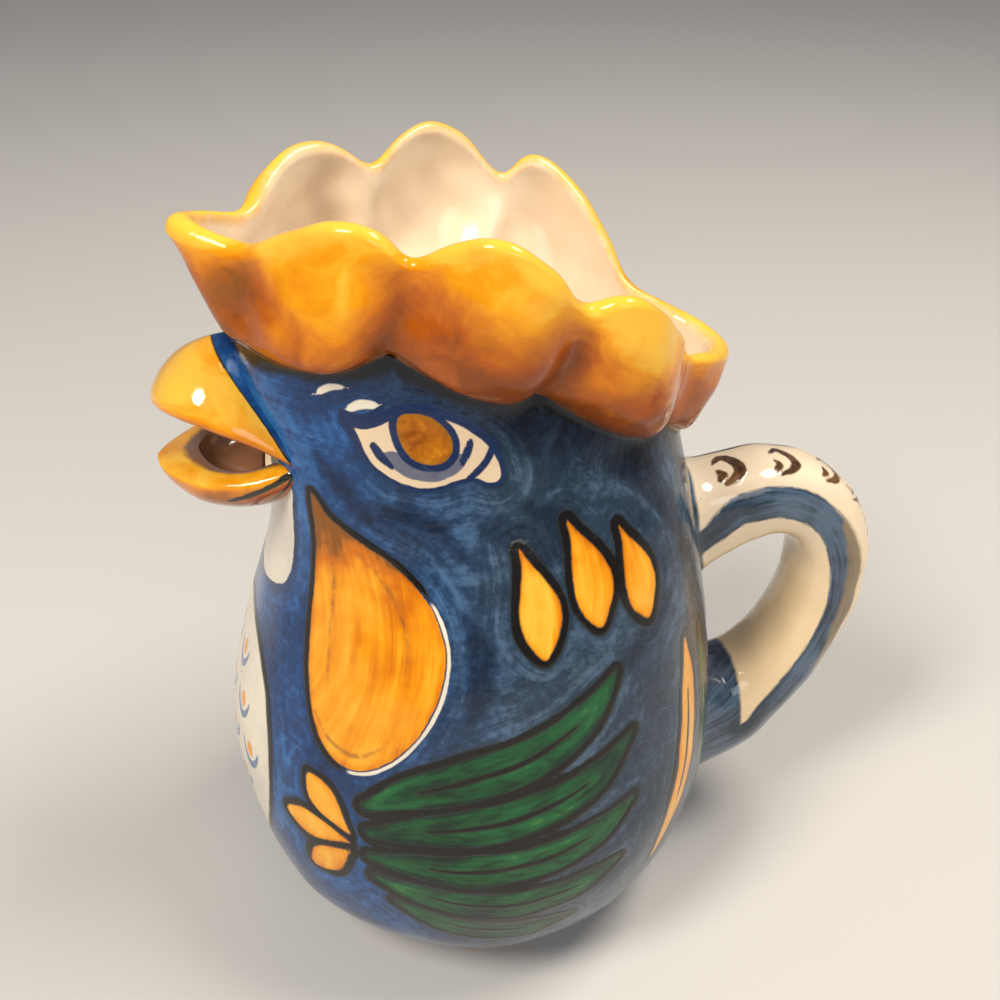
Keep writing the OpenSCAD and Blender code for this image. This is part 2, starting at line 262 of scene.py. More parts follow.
N_OUT, N_LIP = 54, 11
th_u, zb, R_, n_, l_ = theta(u), base_z(u), rim(u), out_dir(u), lobe(u, 0.12)
k1, k2, hh = per_lobe(u, PULL_1, 2, l_), per_lobe(u, PULL_2, -1, l_), per_lobe(u, DROP, 7, l_)
C3 = lambda a: np.asarray(a)[:, None]
rise, lip = C3(per_lobe(u, RISE, 1, l_)), C3(LIP_R*per_lobe(u, LIP, 1, l_))
bo, bi = body_pt(th_u, zb), body_pt(th_u, zb, WALL)
ro, ri = R_ + n_*lip, R_ - n_*lip
for i in range(1, N_OUT + 1):
    t = (i/N_OUT)**1.1
    add(bez(bo, bo + n_*C3(k1) + UP*rise, ro + n_*C3(k2) - UP*C3(hh), ro, t), i/N_OUT)
for i in range(1, N_LIP):
    a = PI*i/N_LIP
    add(R_ + n_*lip*math.cos(a) + UP*lip*math.sin(a), 1 + i/N_LIP)
N_INN = 48
for i in range(N_INN + 1):
    t = 1 - (1 - i/N_INN)**1.15
    add(bez(ri, ri + n_*C3(k2)*0.8 - UP*C3(hh), bi + n_*C3(k1)*0.8 + UP*3, bi, t), 2 + i/N_INN)
R_BI = len(rows) - 1                  # where the comb springs from the head, inside

for w in 16 - 4*np.linspace(0, 1, 10)[1:-1]:
    add(upper_row(w, WALL))
R_HOLE_IN = len(rows)                 # its first row is w = 12, its last w = 7
for w in W_HOLE[::-1]:
    add(upper_row(w, WALL))
for w in np.linspace(7, 0, 11)[1:]:
    add(upper_row(w, WALL))
IN_Z, IN_OFF = [7.5, 7.7, 8.3, 10.5, 14.5, 20, 90], [14, 11.5, 8.5, 5.8, 4.6, 4.2, 4.2]
for z in np.concatenate([np.linspace(86, 20, 17)[1:], [17, 14.5, 12.5, 11, 9.8, 8.9, 8.3, 7.9, 7.65, 7.5]]):
    add(body_pt(theta(u), z, spl(z, IN_Z, IN_OFF)))
last = rows[-1]
for f in (0.75, 0.45, 0.2):
    add(last*[f, f, 1] - [0, 0, 0.3*(1 - f)])

G = np.array(rows)                    # rows, columns, xyz
RING = np.array(ring)
NR = len(G)
chart_z = G[:, :, 2].copy()           # height of each point before it is made uneven
chart_th = np.degrees(np.arctan2(G[:, :, 1]/np.maximum(spl(chart_z, BZ, B_SIDE), 1),
                                 (G[:, :, 0] - (spl(chart_z, BZ, B_REAR) - spl(chart_z, BZ, B_FRONT))/2)
                                 / ((spl(chart_z, BZ, B_REAR) + spl(chart_z, BZ, B_FRONT))/2)))


def soften(P, row, reach, times, strength=0.5):
    """rounds a crease that runs along a row"""
    w = np.cos(np.linspace(-PI/2, PI/2, 2*reach + 3))[1:-1, None, None]
    for _ in range(times):
        part = P[row - reach - 1: row + reach + 2]
        mid = (part[2:] + part[:-2])/2
        P[row - reach: row + reach + 1] += strength*w*(mid - part[1:-1])


soften(G, R_SIDE, 4, 12)
soften(G, R_BO, 8, 40)
soften(G, R_BI, 6, 24)


def blur_cols(A, times):
    for _ in range(times):
        A = (np.roll(A, 1, 1) + 2*A + np.roll(A, -1, 1))/4
    return A


# the grooves between the lobes are rounder in the wet clay than drawn
cr = slice(R_BO, R_BI + 1)
groove = np.exp(-((np.abs(np.mod(u, 1) - 0.5))/0.11)**2)[None, :, None]
part = G[cr]
for _ in range(14):
    part = part + groove*(blur_cols(part, 1) - part)
G[cr] = blur_cols(part, 4)

quads = []


def grid(idx, turn=True):
    a, b, c, d = idx[:-1, :-1], idx[:-1, 1:], idx[1:, 1:], idx[1:, :-1]
    q = np.stack([a, d, c, b] if turn else [a, b, c, d], -1)
    return q


ids = np.arange(NR*COLS).reshape(NR, COLS)
idw = np.concatenate([ids, ids[:, :1]], 1)
cell = grid(idw)                      # (NR-1, COLS, 4)
keep = np.ones(cell.shape[:2], bool)
hc = np.r_[0:HC_N, COLS - HC_N:COLS]
keep[np.ix_(range(R_HOLE_OUT, R_HOLE_OUT + HR_N), hc)] = False
keep[np.ix_(range(R_HOLE_IN, R_HOLE_IN + HR_N), hc)] = False


def normals_of(P, quad_list, n):
    N = np.zeros((n, 3))
    for q in quad_list:
        p = P[q]
        f = np.cross(p[:, 2] - p[:, 0], p[:, 3 if q.shape[1] == 4 else 2] - p[:, 1 if q.shape[1] == 4 else 0])
        if q.shape[1] == 3:
            f = np.cross(p[:, 1] - p[:, 0], p[:, 2] - p[:, 0])
        for k in range(q.shape[1]):
            np.add.at(N, q[:, k], f)
    return N / np.maximum(np.linalg.norm(N, axis=1, keepdims=True), 1e-12)


flat_cells = cell[keep]
N0 = normals_of(G.reshape(-1, 3), [flat_cells], NR*COLS).reshape(NR, COLS, 3)
P0 = G.copy()
amount = np.full(NR, 0.26)
amount[:R_SIDE + 3] = 0.0
amount[R_BI + 1:] = 0.15
G = G + N0*(lumps(P0, 3, 34)*C3(amount) + lumps(P0, 5, 13)*C3(amount)*0.35)[..., None]
comb_rows = (RING > 0)
G[comb_rows] += N0[comb_rows]*(lumps(P0[comb_rows], 8, 9)*0.16)[..., None]
G = np.minimum(np.maximum(G, BOX_LO + 0.02), BOX_HI - 0.02)

centre_low = np.array([[0, 0, FOOT_H]])
centre_in = np.array([[0, 0, 7.15]])
ALL_P = np.concatenate([G.reshape(-1, 3), centre_low, centre_in])
C_LOW, C_IN = NR*COLS, NR*COLS + 1
fan_low = np.stack([np.full(COLS, C_LOW), idw[0, :-1], idw[0, 1:]], -1)
fan_in = np.stack([np.full(COLS, C_IN), idw[-1, 1:], idw[-1, :-1]], -1)
ALL_N = normals_of(ALL_P, [flat_cells, fan_low, fan_in], len(ALL_P))

# how hollow (positive) or proud (negative) the surface is, in mm
S = G.copy()
for _ in range(36):
    S = (np.roll(S, 1, 1) + 2*S + np.roll(S, -1, 1))/4
    S[1:-1] = (S[:-2] + 2*S[1:-1] + S[2:])/4
HOLLOW = ((S - G)*ALL_N[:NR*COLS].reshape(NR, COLS, 3)).sum(-1)

# distance along each column from the crease under the comb: down the head positive, up the comb negative
step_len = np.linalg.norm(np.diff(G, axis=0), axis=2)
PROF = np.zeros((NR, COLS))
for r in range(R_BO - 1, -1, -1):
    PROF[r] = PROF[r + 1] + step_len[r]
for r in range(R_BO + 1, NR):
    PROF[r] = PROF[r - 1] - step_len[r - 1]
LIP_ROW = R_BO + N_OUT + N_LIP//2
OVER = np.zeros((NR, COLS))           # distance past the top of the lip, inwards positive
for r in range(LIP_ROW + 1, NR):
    OVER[r] = OVER[r - 1] + step_len[r - 1]
for r in range(LIP_ROW - 1, -1, -1):
    OVER[r] = OVER[r + 1] - step_len[r]
OVER -= 2.2*np.exp(-(uu/0.3)**2)      # the front lobe is amber right over its thick lip


# ------------------------------------------------------------------ meshes
def make_mesh(name, P, faces, loop_normals=None, mats=(), mat_index=None, fields=None, loop_uv=None, smooth=None):
    me = bpy.data.meshes.new(name)
    flist = [f for block in faces for f in block.tolist()]
    me.from_pydata((np.asarray(P)*0.001).tolist(), [], flist)
    me.polygons.foreach_set("use_smooth", [True]*len(me.polygons) if smooth is None else smooth)
    for m in mats:
        me.materials.append(m)
    if mat_index is not None:
        me.polygons.foreach_set("material_index", np.asarray(mat_index, np.int32))
    for k, v in (fields or {}).items():
        v = np.asarray(v, np.float32)
        if v.ndim == 1:
            me.attributes.new(k, "FLOAT", "POINT").data.foreach_set("value", v)
        else:
            me.attributes.new(k, "FLOAT_VECTOR", "POINT").data.foreach_set("vector", v.ravel())
    if loop_uv is not None:
        me.uv_layers.new(name="OFBake").data.foreach_set("uv", np.asarray(loop_uv, np.float32).ravel())
    if loop_normals is not None:
        me.normals_split_custom_set(np.asarray(loop_normals).tolist())
    me.update()
    ob = bpy.data.objects.new(name, me)
    bpy.context.scene.collection.objects.link(ob)
    return ob


def compact(blocks, P, N, fields):
    """keeps only the points that the blocks of faces use; blocks are (faces, smooth, uv corners, material)"""
    used = np.unique(np.concatenate([b[0].ravel() for b in blocks]))
    back = np.full(len(P), -1)
    back[used] = np.arange(len(used))
    faces, ln, uv, mi, sm = [], [], [], [], []
    for f, smooth, tex, m in blocks:
        g = back[f]
        faces.append(g)
        if smooth:
            ln.append(N[f].reshape(-1, 3))
        else:
            p = P[f]
            fn = np.cross(p[:, 1] - p[:, 0], p[:, 2] - p[:, 0])
            if f.shape[1] == 4:
                fn = np.cross(p[:, 2] - p[:, 0], p[:, 3] - p[:, 1])
            fn = fn / np.maximum(np.linalg.norm(fn, axis=1, keepdims=True), 1e-12)
            ln.append(np.repeat(fn, f.shape[1], 0))
        uv.append(tex.reshape(-1, 2))
        mi.append(np.full(len(f), m))
        sm.append(np.full(len(f), smooth))
    return dict(smooth=np.concatenate(sm).tolist(), P=P[used], faces=faces, loop_normals=np.concatenate(ln), mat_index=np.concatenate(mi),
                loop_uv=np.concatenate(uv), fields={k: v[used] for k, v in fields.items()})


def chart_uv(r0, r1, c0, c1, box, turn=True):
    """corner coordinates for the cells of rows r0..r1 and columns c0..c1, laid in a box of the unit square"""
    rr = np.linspace(box[1], box[3], r1 - r0 + 1)
    cc = np.linspace(box[0], box[2], c1 - c0 + 1)
    t = np.stack(np.meshgrid(cc, rr), -1)
    a, b, c, d = t[:-1, :-1], t[:-1, 1:], t[1:, 1:], t[1:, :-1]
    return np.stack([a, d, c, b] if turn else [a, b, c, d], 2)


# ------------------------------------------------------------------ painting: signed distances to drawn shapes
def segment_distance(Q, A, B, wa, wb):
    """least of distance to segments A-B less their half widths wa, wb, at points Q"""
    out = np.full(len(Q), 1e3)
    for s in range(0, len(A), 64):
        a, b = A[s:s+64], B[s:s+64]
        ab = b - a
        L = np.maximum((ab*ab).sum(1), 1e-9)
        d = Q[:, None, :] - a[None]
        t = np.clip((d*ab).sum(2)/L, 0, 1)
        near = np.linalg.norm(d - t[..., None]*ab, axis=2) - (wa[s:s+64] + (wb[s:s+64] - wa[s:s+64])*t)
        out = np.minimum(out, near.min(1))
    return out


def inside(x, y, poly):
    px, py = poly[:, 0], poly[:, 1]
    qx, qy = np.roll(px, -1), np.roll(py, -1)
    odd = np.zeros(len(x), bool)
    for a, b, c, d in zip(px, py, qx, qy):
        if b != d:
            odd ^= ((b > y) != (d > y)) & (x < (c - a)*(y - b)/(d - b) + a)
    return odd


class Canvas:
    """layers of signed distance, in mm and negative inside, over points with a chart (x, y) and places in space"""

    def __init__(self, chart, place, points, period=None):
        self.chart, self.place, self.points, self.period = chart, place, points, period
        self.layers = {}

    def layer(self, name):
        return self.layers.setdefault(name, np.full(len(self.points), 60.0))

    def chart_near(self, mid):
        x = self.chart[:, 0]
        if self.period:
            x = mid + np.mod(x - mid + self.period/2, self.period) - self.period/2
        return x, self.chart[:, 1]

    def measure(self, C, wa, reach=34.0, loop=False):
        Q = self.place(C[:, 0], C[:, 1])
        lo, hi = Q.min(0) - reach, Q.max(0) + reach
        pick = np.where(((self.points > lo) & (self.points < hi)).all(1))[0]
        B = np.roll(Q, -1, 0)
        wb = np.roll(wa, -1)
        if not loop:
            Q, B, wa, wb = Q[:-1], B[:-1], wa[:-1], wb[:-1]
        return pick, segment_distance(self.points[pick], Q, B, wa, wb)

    def shape(self, names, pts, n=6, smooth=True, reach=34.0):
        C = closed_curve(pts, n)
        if not smooth:
            A = np.asarray(pts, float)
            f = np.arange(n)[None, :, None]/n
            C = (A[:, None]*(1 - f) + np.roll(A, -1, 0)[:, None]*f).reshape(-1, 2)
        pick, d = self.measure(C, np.zeros(len(C)), reach, True)
        x, y = self.chart_near(C[:, 0].mean())
        sign = np.where(inside(x[pick], y[pick], C), -1, 1)
        for name in names.split():
            L = self.layer(name)
            L[pick] = np.minimum(L[pick], d*sign)

    def stroke(self, names, pts, widths, n=6, reach=8.0):
        C = open_curve(pts, n)
        w = np.interp(np.linspace(0, 1, len(C)), np.linspace(0, 1, len(widths)), widths)/2
        pick, d = self.measure(C, w, reach)
        for name in names.split():
            L = self.layer(name)
            L[pick] = np.minimum(L[pick], d)

    def seam(self, name, pts, widths, n=6, reach=2.6, loop=False):
        """a thin line kept as distance to its middle, with a sign for its side, and as half width there"""
        C = closed_curve(pts, n) if loop else open_curve(pts, n)
        w = np.interp(np.linspace(0, 1, len(C)), np.linspace(0, 1, len(widths)), widths)/2
        Q = self.place(C[:, 0], C[:, 1])
        if not loop:
            far = np.concatenate([[0], np.cumsum(np.linalg.norm(np.diff(Q, axis=0), axis=1))])
            w = w - 0.5*(1 - ease(np.minimum(far, far[-1] - far), 0.0, 1.3))
        lo, hi = Q.min(0) - reach, Q.max(0) + reach
        pick = np.where(((self.points > lo) & (self.points < hi)).all(1))[0]
        if not len(pick):
            return
        x, y = self.chart_near(C[:, 0].mean())
        X = np.stack([x[pick], y[pick]], -1)
        p = self.points[pick]
        best, dist, half, side = (np.full(len(pick), v) for v in (1e3, 1e3, -0.6, 1.0))
        m = len(C) if loop else len(C) - 1
        for i in range(m):
            j = (i + 1) % len(C)
            a, ab = Q[i], Q[j] - Q[i]
            t0 = ((p - a) @ ab)/max(ab @ ab, 1e-9)
            t = np.clip(t0, 0, 1)
            d = np.linalg.norm(p - a - t[:, None]*ab, axis=1)
            h = w[i] + (w[j] - w[i])*t
            past = (not loop) & (((i == 0) & (t0 < 0)) | ((i == m - 1) & (t0 > 1)))
            h = np.where(past, np.minimum(h, 0.0) - 1.2*np.minimum(d, 0.6), h)
            e = C[j] - C[i]
            r = X - C[i]
            sg = np.where(e[0]*r[:, 1] - e[1]*r[:, 0] >= 0, 1.0, -1.0)
            better = d - h < best
            best = np.where(better, d - h, best)
            dist, half, side = np.where(better, d, dist), np.where(better, h, half), np.where(better, sg, side)
        L, W = self.layer(name), self.layers.setdefault(name + "_w", np.full(len(self.points), -0.6))
        half = np.where(dist > half + 1.15, np.minimum(half, -0.3), half)
        ok = best < np.abs(L[pick]) - W[pick]
        L[pick[ok]] = (dist*side)[ok]
        W[pick[ok]] = half[ok]


paint_rows = np.arange(R_SIDE, R_BO + 1)
pid = ids[paint_rows].ravel()
canvas = Canvas(np.stack([chart_th.reshape(-1)[pid], chart_z.reshape(-1)[pid]], -1),
                lambda x, y: body_pt(x, y), body_pt(chart_th.reshape(-1)[pid], chart_z.reshape(-1)[pid]), 360)

EYE = [(-125, 129.8), (-121.5, 128.4), (-117.5, 128.9), (-113.5, 130.2), (-109, 131.6), (-104, 131.8), (-99.5, 130.6),
       (-95.2, 129.2), (-92, 127), (-89.7, 124.6), (-88.9, 122.2), (-89.1, 119.9), (-90.6, 118.8), (-93.2, 118.9), (-96, 119.9), (-100.5, 119.4), (-104.5, 118.6),
       (-109, 118.2), (-113.2, 118.8), (-117, 120), (-120, 121.4), (-121.9, 123.6), (-123, 126.4)]
IRIS = [(-112.4, 128), (-110.9, 130.8), (-107, 131.6), (-102.4, 131), (-99.4, 129), (-98.1, 126.6), (-98.9, 124.2),
        (-101.6, 122.4), (-105, 121.8), (-108.8, 122.3), (-111.6, 124.2)]
WASH = [(-117.5, 123.6), (-115, 121.4), (-111.5, 119.9), (-107.6, 119.4), (-103.2, 119.7), (-99.6, 120.8),
        (-96.8, 122.6), (-97.2, 124.2), (-103, 122.6), (-108, 122.2), (-113, 124.4)]
WATTLE = [(-143, 114), (-139, 110.8), (-134.5, 108.8), (-127.8, 106.6), (-120.8, 103.8), (-115.8, 100.4), (-112.2, 96.4),
          (-109.8, 91.6), (-109.4, 86.4), (-110.8, 80.4), (-114, 74.4), (-119, 69), (-125, 65.6), (-131.5, 65), (-137, 67.8),
          (-141.2, 73), (-144.4, 79), (-146.2, 85.6), (-146.8, 92), (-146.2, 98), (-145.2, 104)]


def both(draw, names, pts, *args, **kw):
    """draws on the bird's left, and again on its right, where the same hand didn't land quite the same"""
    draw(names, pts, *args, **kw)
    draw(names, [(-x*0.996 - 0.5*math.sin(y*0.7), y + 0.4*math.sin(x*0.3)) for x, y in pts], *args, **kw)


def leaf(a, b, width, bend=0.0, k=0.85, n=8, full=0.9):
    """outline of a leaf from a to b in chart places; k is mm to a degree"""
    A, B = np.array([a[0]*k, a[1]]), np.array([b[0]*k, b[1]])
    d = B - A
    m = np.array([-d[1], d[0]])/np.linalg.norm(d)
    t = np.linspace(0, 1, n)
    mid = A + d*t[:, None] + m*(bend*np.sin(PI*t))[:, None]
    h = (width/2*np.sin(PI*t**full)**0.85)[1:-1, None]
    L = np.concatenate([mid[:1], mid[1:-1] + m*h, mid[-1:], (mid[1:-1] - m*h)[::-1]])
    return [(x/k, y) for x, y in L]


sh, st, se = canvas.shape, canvas.stroke, canvas.seam
both(sh, "wattle shapes", WATTLE)
both(sh, "eye shapes", EYE)
both(sh, "iris", IRIS)
both(sh, "wash", WASH)
# eye: dashes in the corners, crease over the lid, and painted highlights over the lid in bare-glaze white
both(st, "dash", [(-118.9, 125.2), (-117.6, 123.4), (-115.4, 121.6)], [1.4, 1.7, 0.8])
both(st, "dash", [(-94.4, 126), (-96.1, 124), (-98, 122.4)], [1.1, 1.5, 1.1])
both(se, "navy", [(-126.6, 131.4), (-124.6, 130.6), (-122, 129.8), (-118, 130.1), (-114.2, 131.8), (-112, 133)], [0.3, 1.3, 1.7, 1.7, 1.3, 0.3])
both(se, "navy", [(-98.4, 119.2), (-95.4, 120.5), (-92, 122.4), (-89.6, 124.6), (-88.2, 126.6)], [1.2, 1.3, 1.3, 1.3, 1.2])
# the next three lines are painted highlights over the lid, drawn in bare-glaze white
both(se, "white", [(-124.2, 130.9), (-119.4, 132.3), (-114.4, 132.2)], [1.2, 1.7, 1.2])
both(se, "lash", [(-131.6, 133.3), (-127.0, 135.0), (-122.6, 135.2)], [1.1, 1.5, 1.1])
both(se, "white", [(-96.5, 130.2), (-94, 128.9), (-92.4, 127.4)], [0.2, 0.5, 0.2])
# dusky strokes brushed over the ground: round the wattle, behind the eye, beside the petals
for pts, wid in [([(-104.5, 96), (-101.5, 90), (-101.5, 83), (-104, 76)], [1.5, 5, 5, 2]),
                 ([(-96, 111), (-89, 109), (-83, 107.5), (-80.5, 111), (-86, 114)], [2, 7, 8, 6, 2]),
                 ([(-120, 113.5), (-110, 112), (-101, 104.5)], [2, 3, 1.5]),
                 ([(-137, 122), (-132, 117.5), (-126, 112)], [1.5, 4, 2]),
                 ([(-60, 118), (-50, 114), (-42, 106), (-36, 94)], [3, 8, 7, 4]),
                 ([(-78, 80), (-62, 84), (-48, 90)], [2, 5, 3]),
                 ([(-34, 60), (-32, 46), (-36, 32)], [3, 7, 4])]:
    both(st, "dusk", pts, wid, reach=14.0)
# wattle: lines of a dry brush inside it
for pts, wid in [([(-141, 108), (-139.5, 98), (-140, 88), (-138, 78)], [0.3, 1.2, 0.8, 0.2]),
                 ([(-133, 106), (-124, 100), (-119, 92), (-118.5, 84)], [0.3, 1.0, 0.9, 0.2]),
                 ([(-141, 74), (-135, 69), (-127, 68), (-120, 72)], [0.3, 1.1, 1.2, 0.3])]:
    both(se, "dry", pts, wid)
# beside the handle's upper root: a dark navy stroke, painted shade where the handle meets the body
both(st, "dusk", [(-14, 104), (-19, 96), (-20, 84), (-19, 74)], [1.5, 5, 5, 2], reach=14.0)
both(st, "broad", [(-13.5, 103), (-17.5, 97), (-19.5, 89), (-19, 81)], [0.8, 2.6, 2.8, 1.0])
# throat under the beak, bare glaze
sh("throat shapes", [(207.6, 113), (205.6, 107), (204.4, 101), (203, 95), (199, 90.6), (192, 88.4), (186, 87.2), (180, 86.8),
                     (174, 87.2), (168, 88.4), (161, 90.6), (157, 95), (155.6, 101), (154.4, 107), (152.4, 113), (160, 118), (180, 119), (200, 118)])
# chest: a pale bib edged with dark, with rows of small brushed scales
sh("bib shapes", [(192, 76.5), (201, 71), (206.5, 61), (207.5, 49), (204, 37), (197, 27.5), (188.5, 22), (180, 20.6), (171.5, 22), (163, 27.5),
                  (156, 37), (152.5, 49), (153.5, 61), (159, 71), (168, 76.5), (180, 78)])
for z, n, w in [(69, 2, 6.0), (60, 3, 6.0), (51, 4, 6.0), (42, 3, 6.2), (33, 2, 6.4)]:
    for j in range(n):
        t = 180 + (j - (n - 1)/2)*(w*2.0)
        se("scale", [(t - w*0.74, z + 3.0), (t - w*0.5, z - 0.6), (t, z - 2.4), (t + w*0.5, z - 0.6), (t + w*0.74, z + 3.0)],
           [0.3, 1.3, 1.9, 1.3, 0.3])
        sh("spot", [(t - 1.6, z + 1.6), (t - 0.2, z + 3.2), (t + 1.5, z + 1.9), (t + 1.2, z - 0.2), (t - 0.8, z - 0.4)])
# wing: long green feathers fanned from the shoulder
FEATHERS = [
    ([(-124, 58), (-114, 63), (-102, 66.5), (-89, 69.8), (-77, 75), (-68, 82)], [2.4, 7, 9.2, 9, 7, 1.0]),
    ([(-123, 52), (-112, 54.8), (-100, 56.2), (-87, 58.4), (-74, 62.2), (-64, 68.5)], [2.4, 6.6, 8.8, 8.8, 7, 1.0]),
    ([(-123, 46), (-112, 46), (-100, 45.6), (-87, 46.4), (-74, 49), (-64, 53.5)], [2.4, 6.4, 8.6, 8.4, 6.8, 1.0]),
    ([(-122, 40.5), (-112, 38), (-100, 35.6), (-88, 34.8), (-76, 36), (-67, 39)], [2.4, 6, 8, 8, 6.2, 1.0]),
    ([(-118, 34), (-109, 29.4), (-99, 26), (-88, 24.8), (-78, 25.6)], [2, 5.6, 7, 6, 1.0]),
]
for path, wid in FEATHERS:
    both(st, "green shapes", path, wid, reach=34.0)
    both(se, "rib", path[1:-1], [0.3, 1.0, 1.1, 0.3])
    for k, way in ((1.2, 1), (1.6, -1), (2.0, 1), (2.4, -1), (2.8, 1), (3.2, -1)):
        if k < len(path) - 2:
            a = open_curve(path, 20)[int(k*20)]
            both(se, "barb", [(a[0], a[1] + 0.9*way), (a[0] + 2.4, a[1] + 2.0*way), (a[0] + 5.6, a[1] + (3.1 if way > 0 else 2.3)*way)], [0.9, 1.0, 0.5])
# shoulder of the wing: three short yellow petals
for b in ((-139.5, 60), (-146, 48), (-139.5, 36)):
    both(sh, "yellow shapes", leaf((-127.5, 48 + (b[1] - 48)*0.16), b, 6.6, 0.0, full=1.35))
# hackles on the nape: yellow drops, rounded below
for a, b, w, bend in [((-89.5, 107.5), (-86, 88), 9.0, 0.6), ((-76, 111), (-71, 91), 9.6, 0.8), ((-62, 107.5), (-56, 88.5), 9.0, 0.6)]:
    both(sh, "yellow shapes", leaf(a, b, w, bend, full=1.45))
# tail at the rear, beside and under the handle: yellow and green plumes
for path, wid, c in [([(-54, 30), (-48.5, 42), (-43.5, 55), (-41, 68), (-41, 78)], [1.5, 6, 7.5, 6, 1.0], "yellow"),
                     ([(-39, 22), (-34, 34), (-30.5, 48), (-29.5, 62), (-30.5, 76)], [1.5, 6, 7, 6, 1.0], "green")]:
    both(st, c + " shapes", path, wid, reach=34.0)
    both(se, "rib", path[1:-1], [0.3, 0.9, 0.3])
L = canvas.layers
tt = np.abs(canvas.chart[:, 0])
zz = canvas.chart[:, 1]
# in front of the wattle and over its shoulder the line is dark, behind it the glaze was left bare
L["front"] = np.clip(np.maximum((tt - 131 + (80 - zz)*0.12)/3, (zz - 98.5)/2.5), -1, 1)
# how far over the middle of the eye
L["lid"] = np.clip((zz - 125)/4, -1, 1)


# ------------------------------------------------------------------ materials
def lin(r, g, b):
    f = lambda c: (c/255/12.92) if c/255 <= 0.04045 else ((c/255 + 0.055)/1.055)**2.4
    return (f(r), f(g), f(b), 1.0)


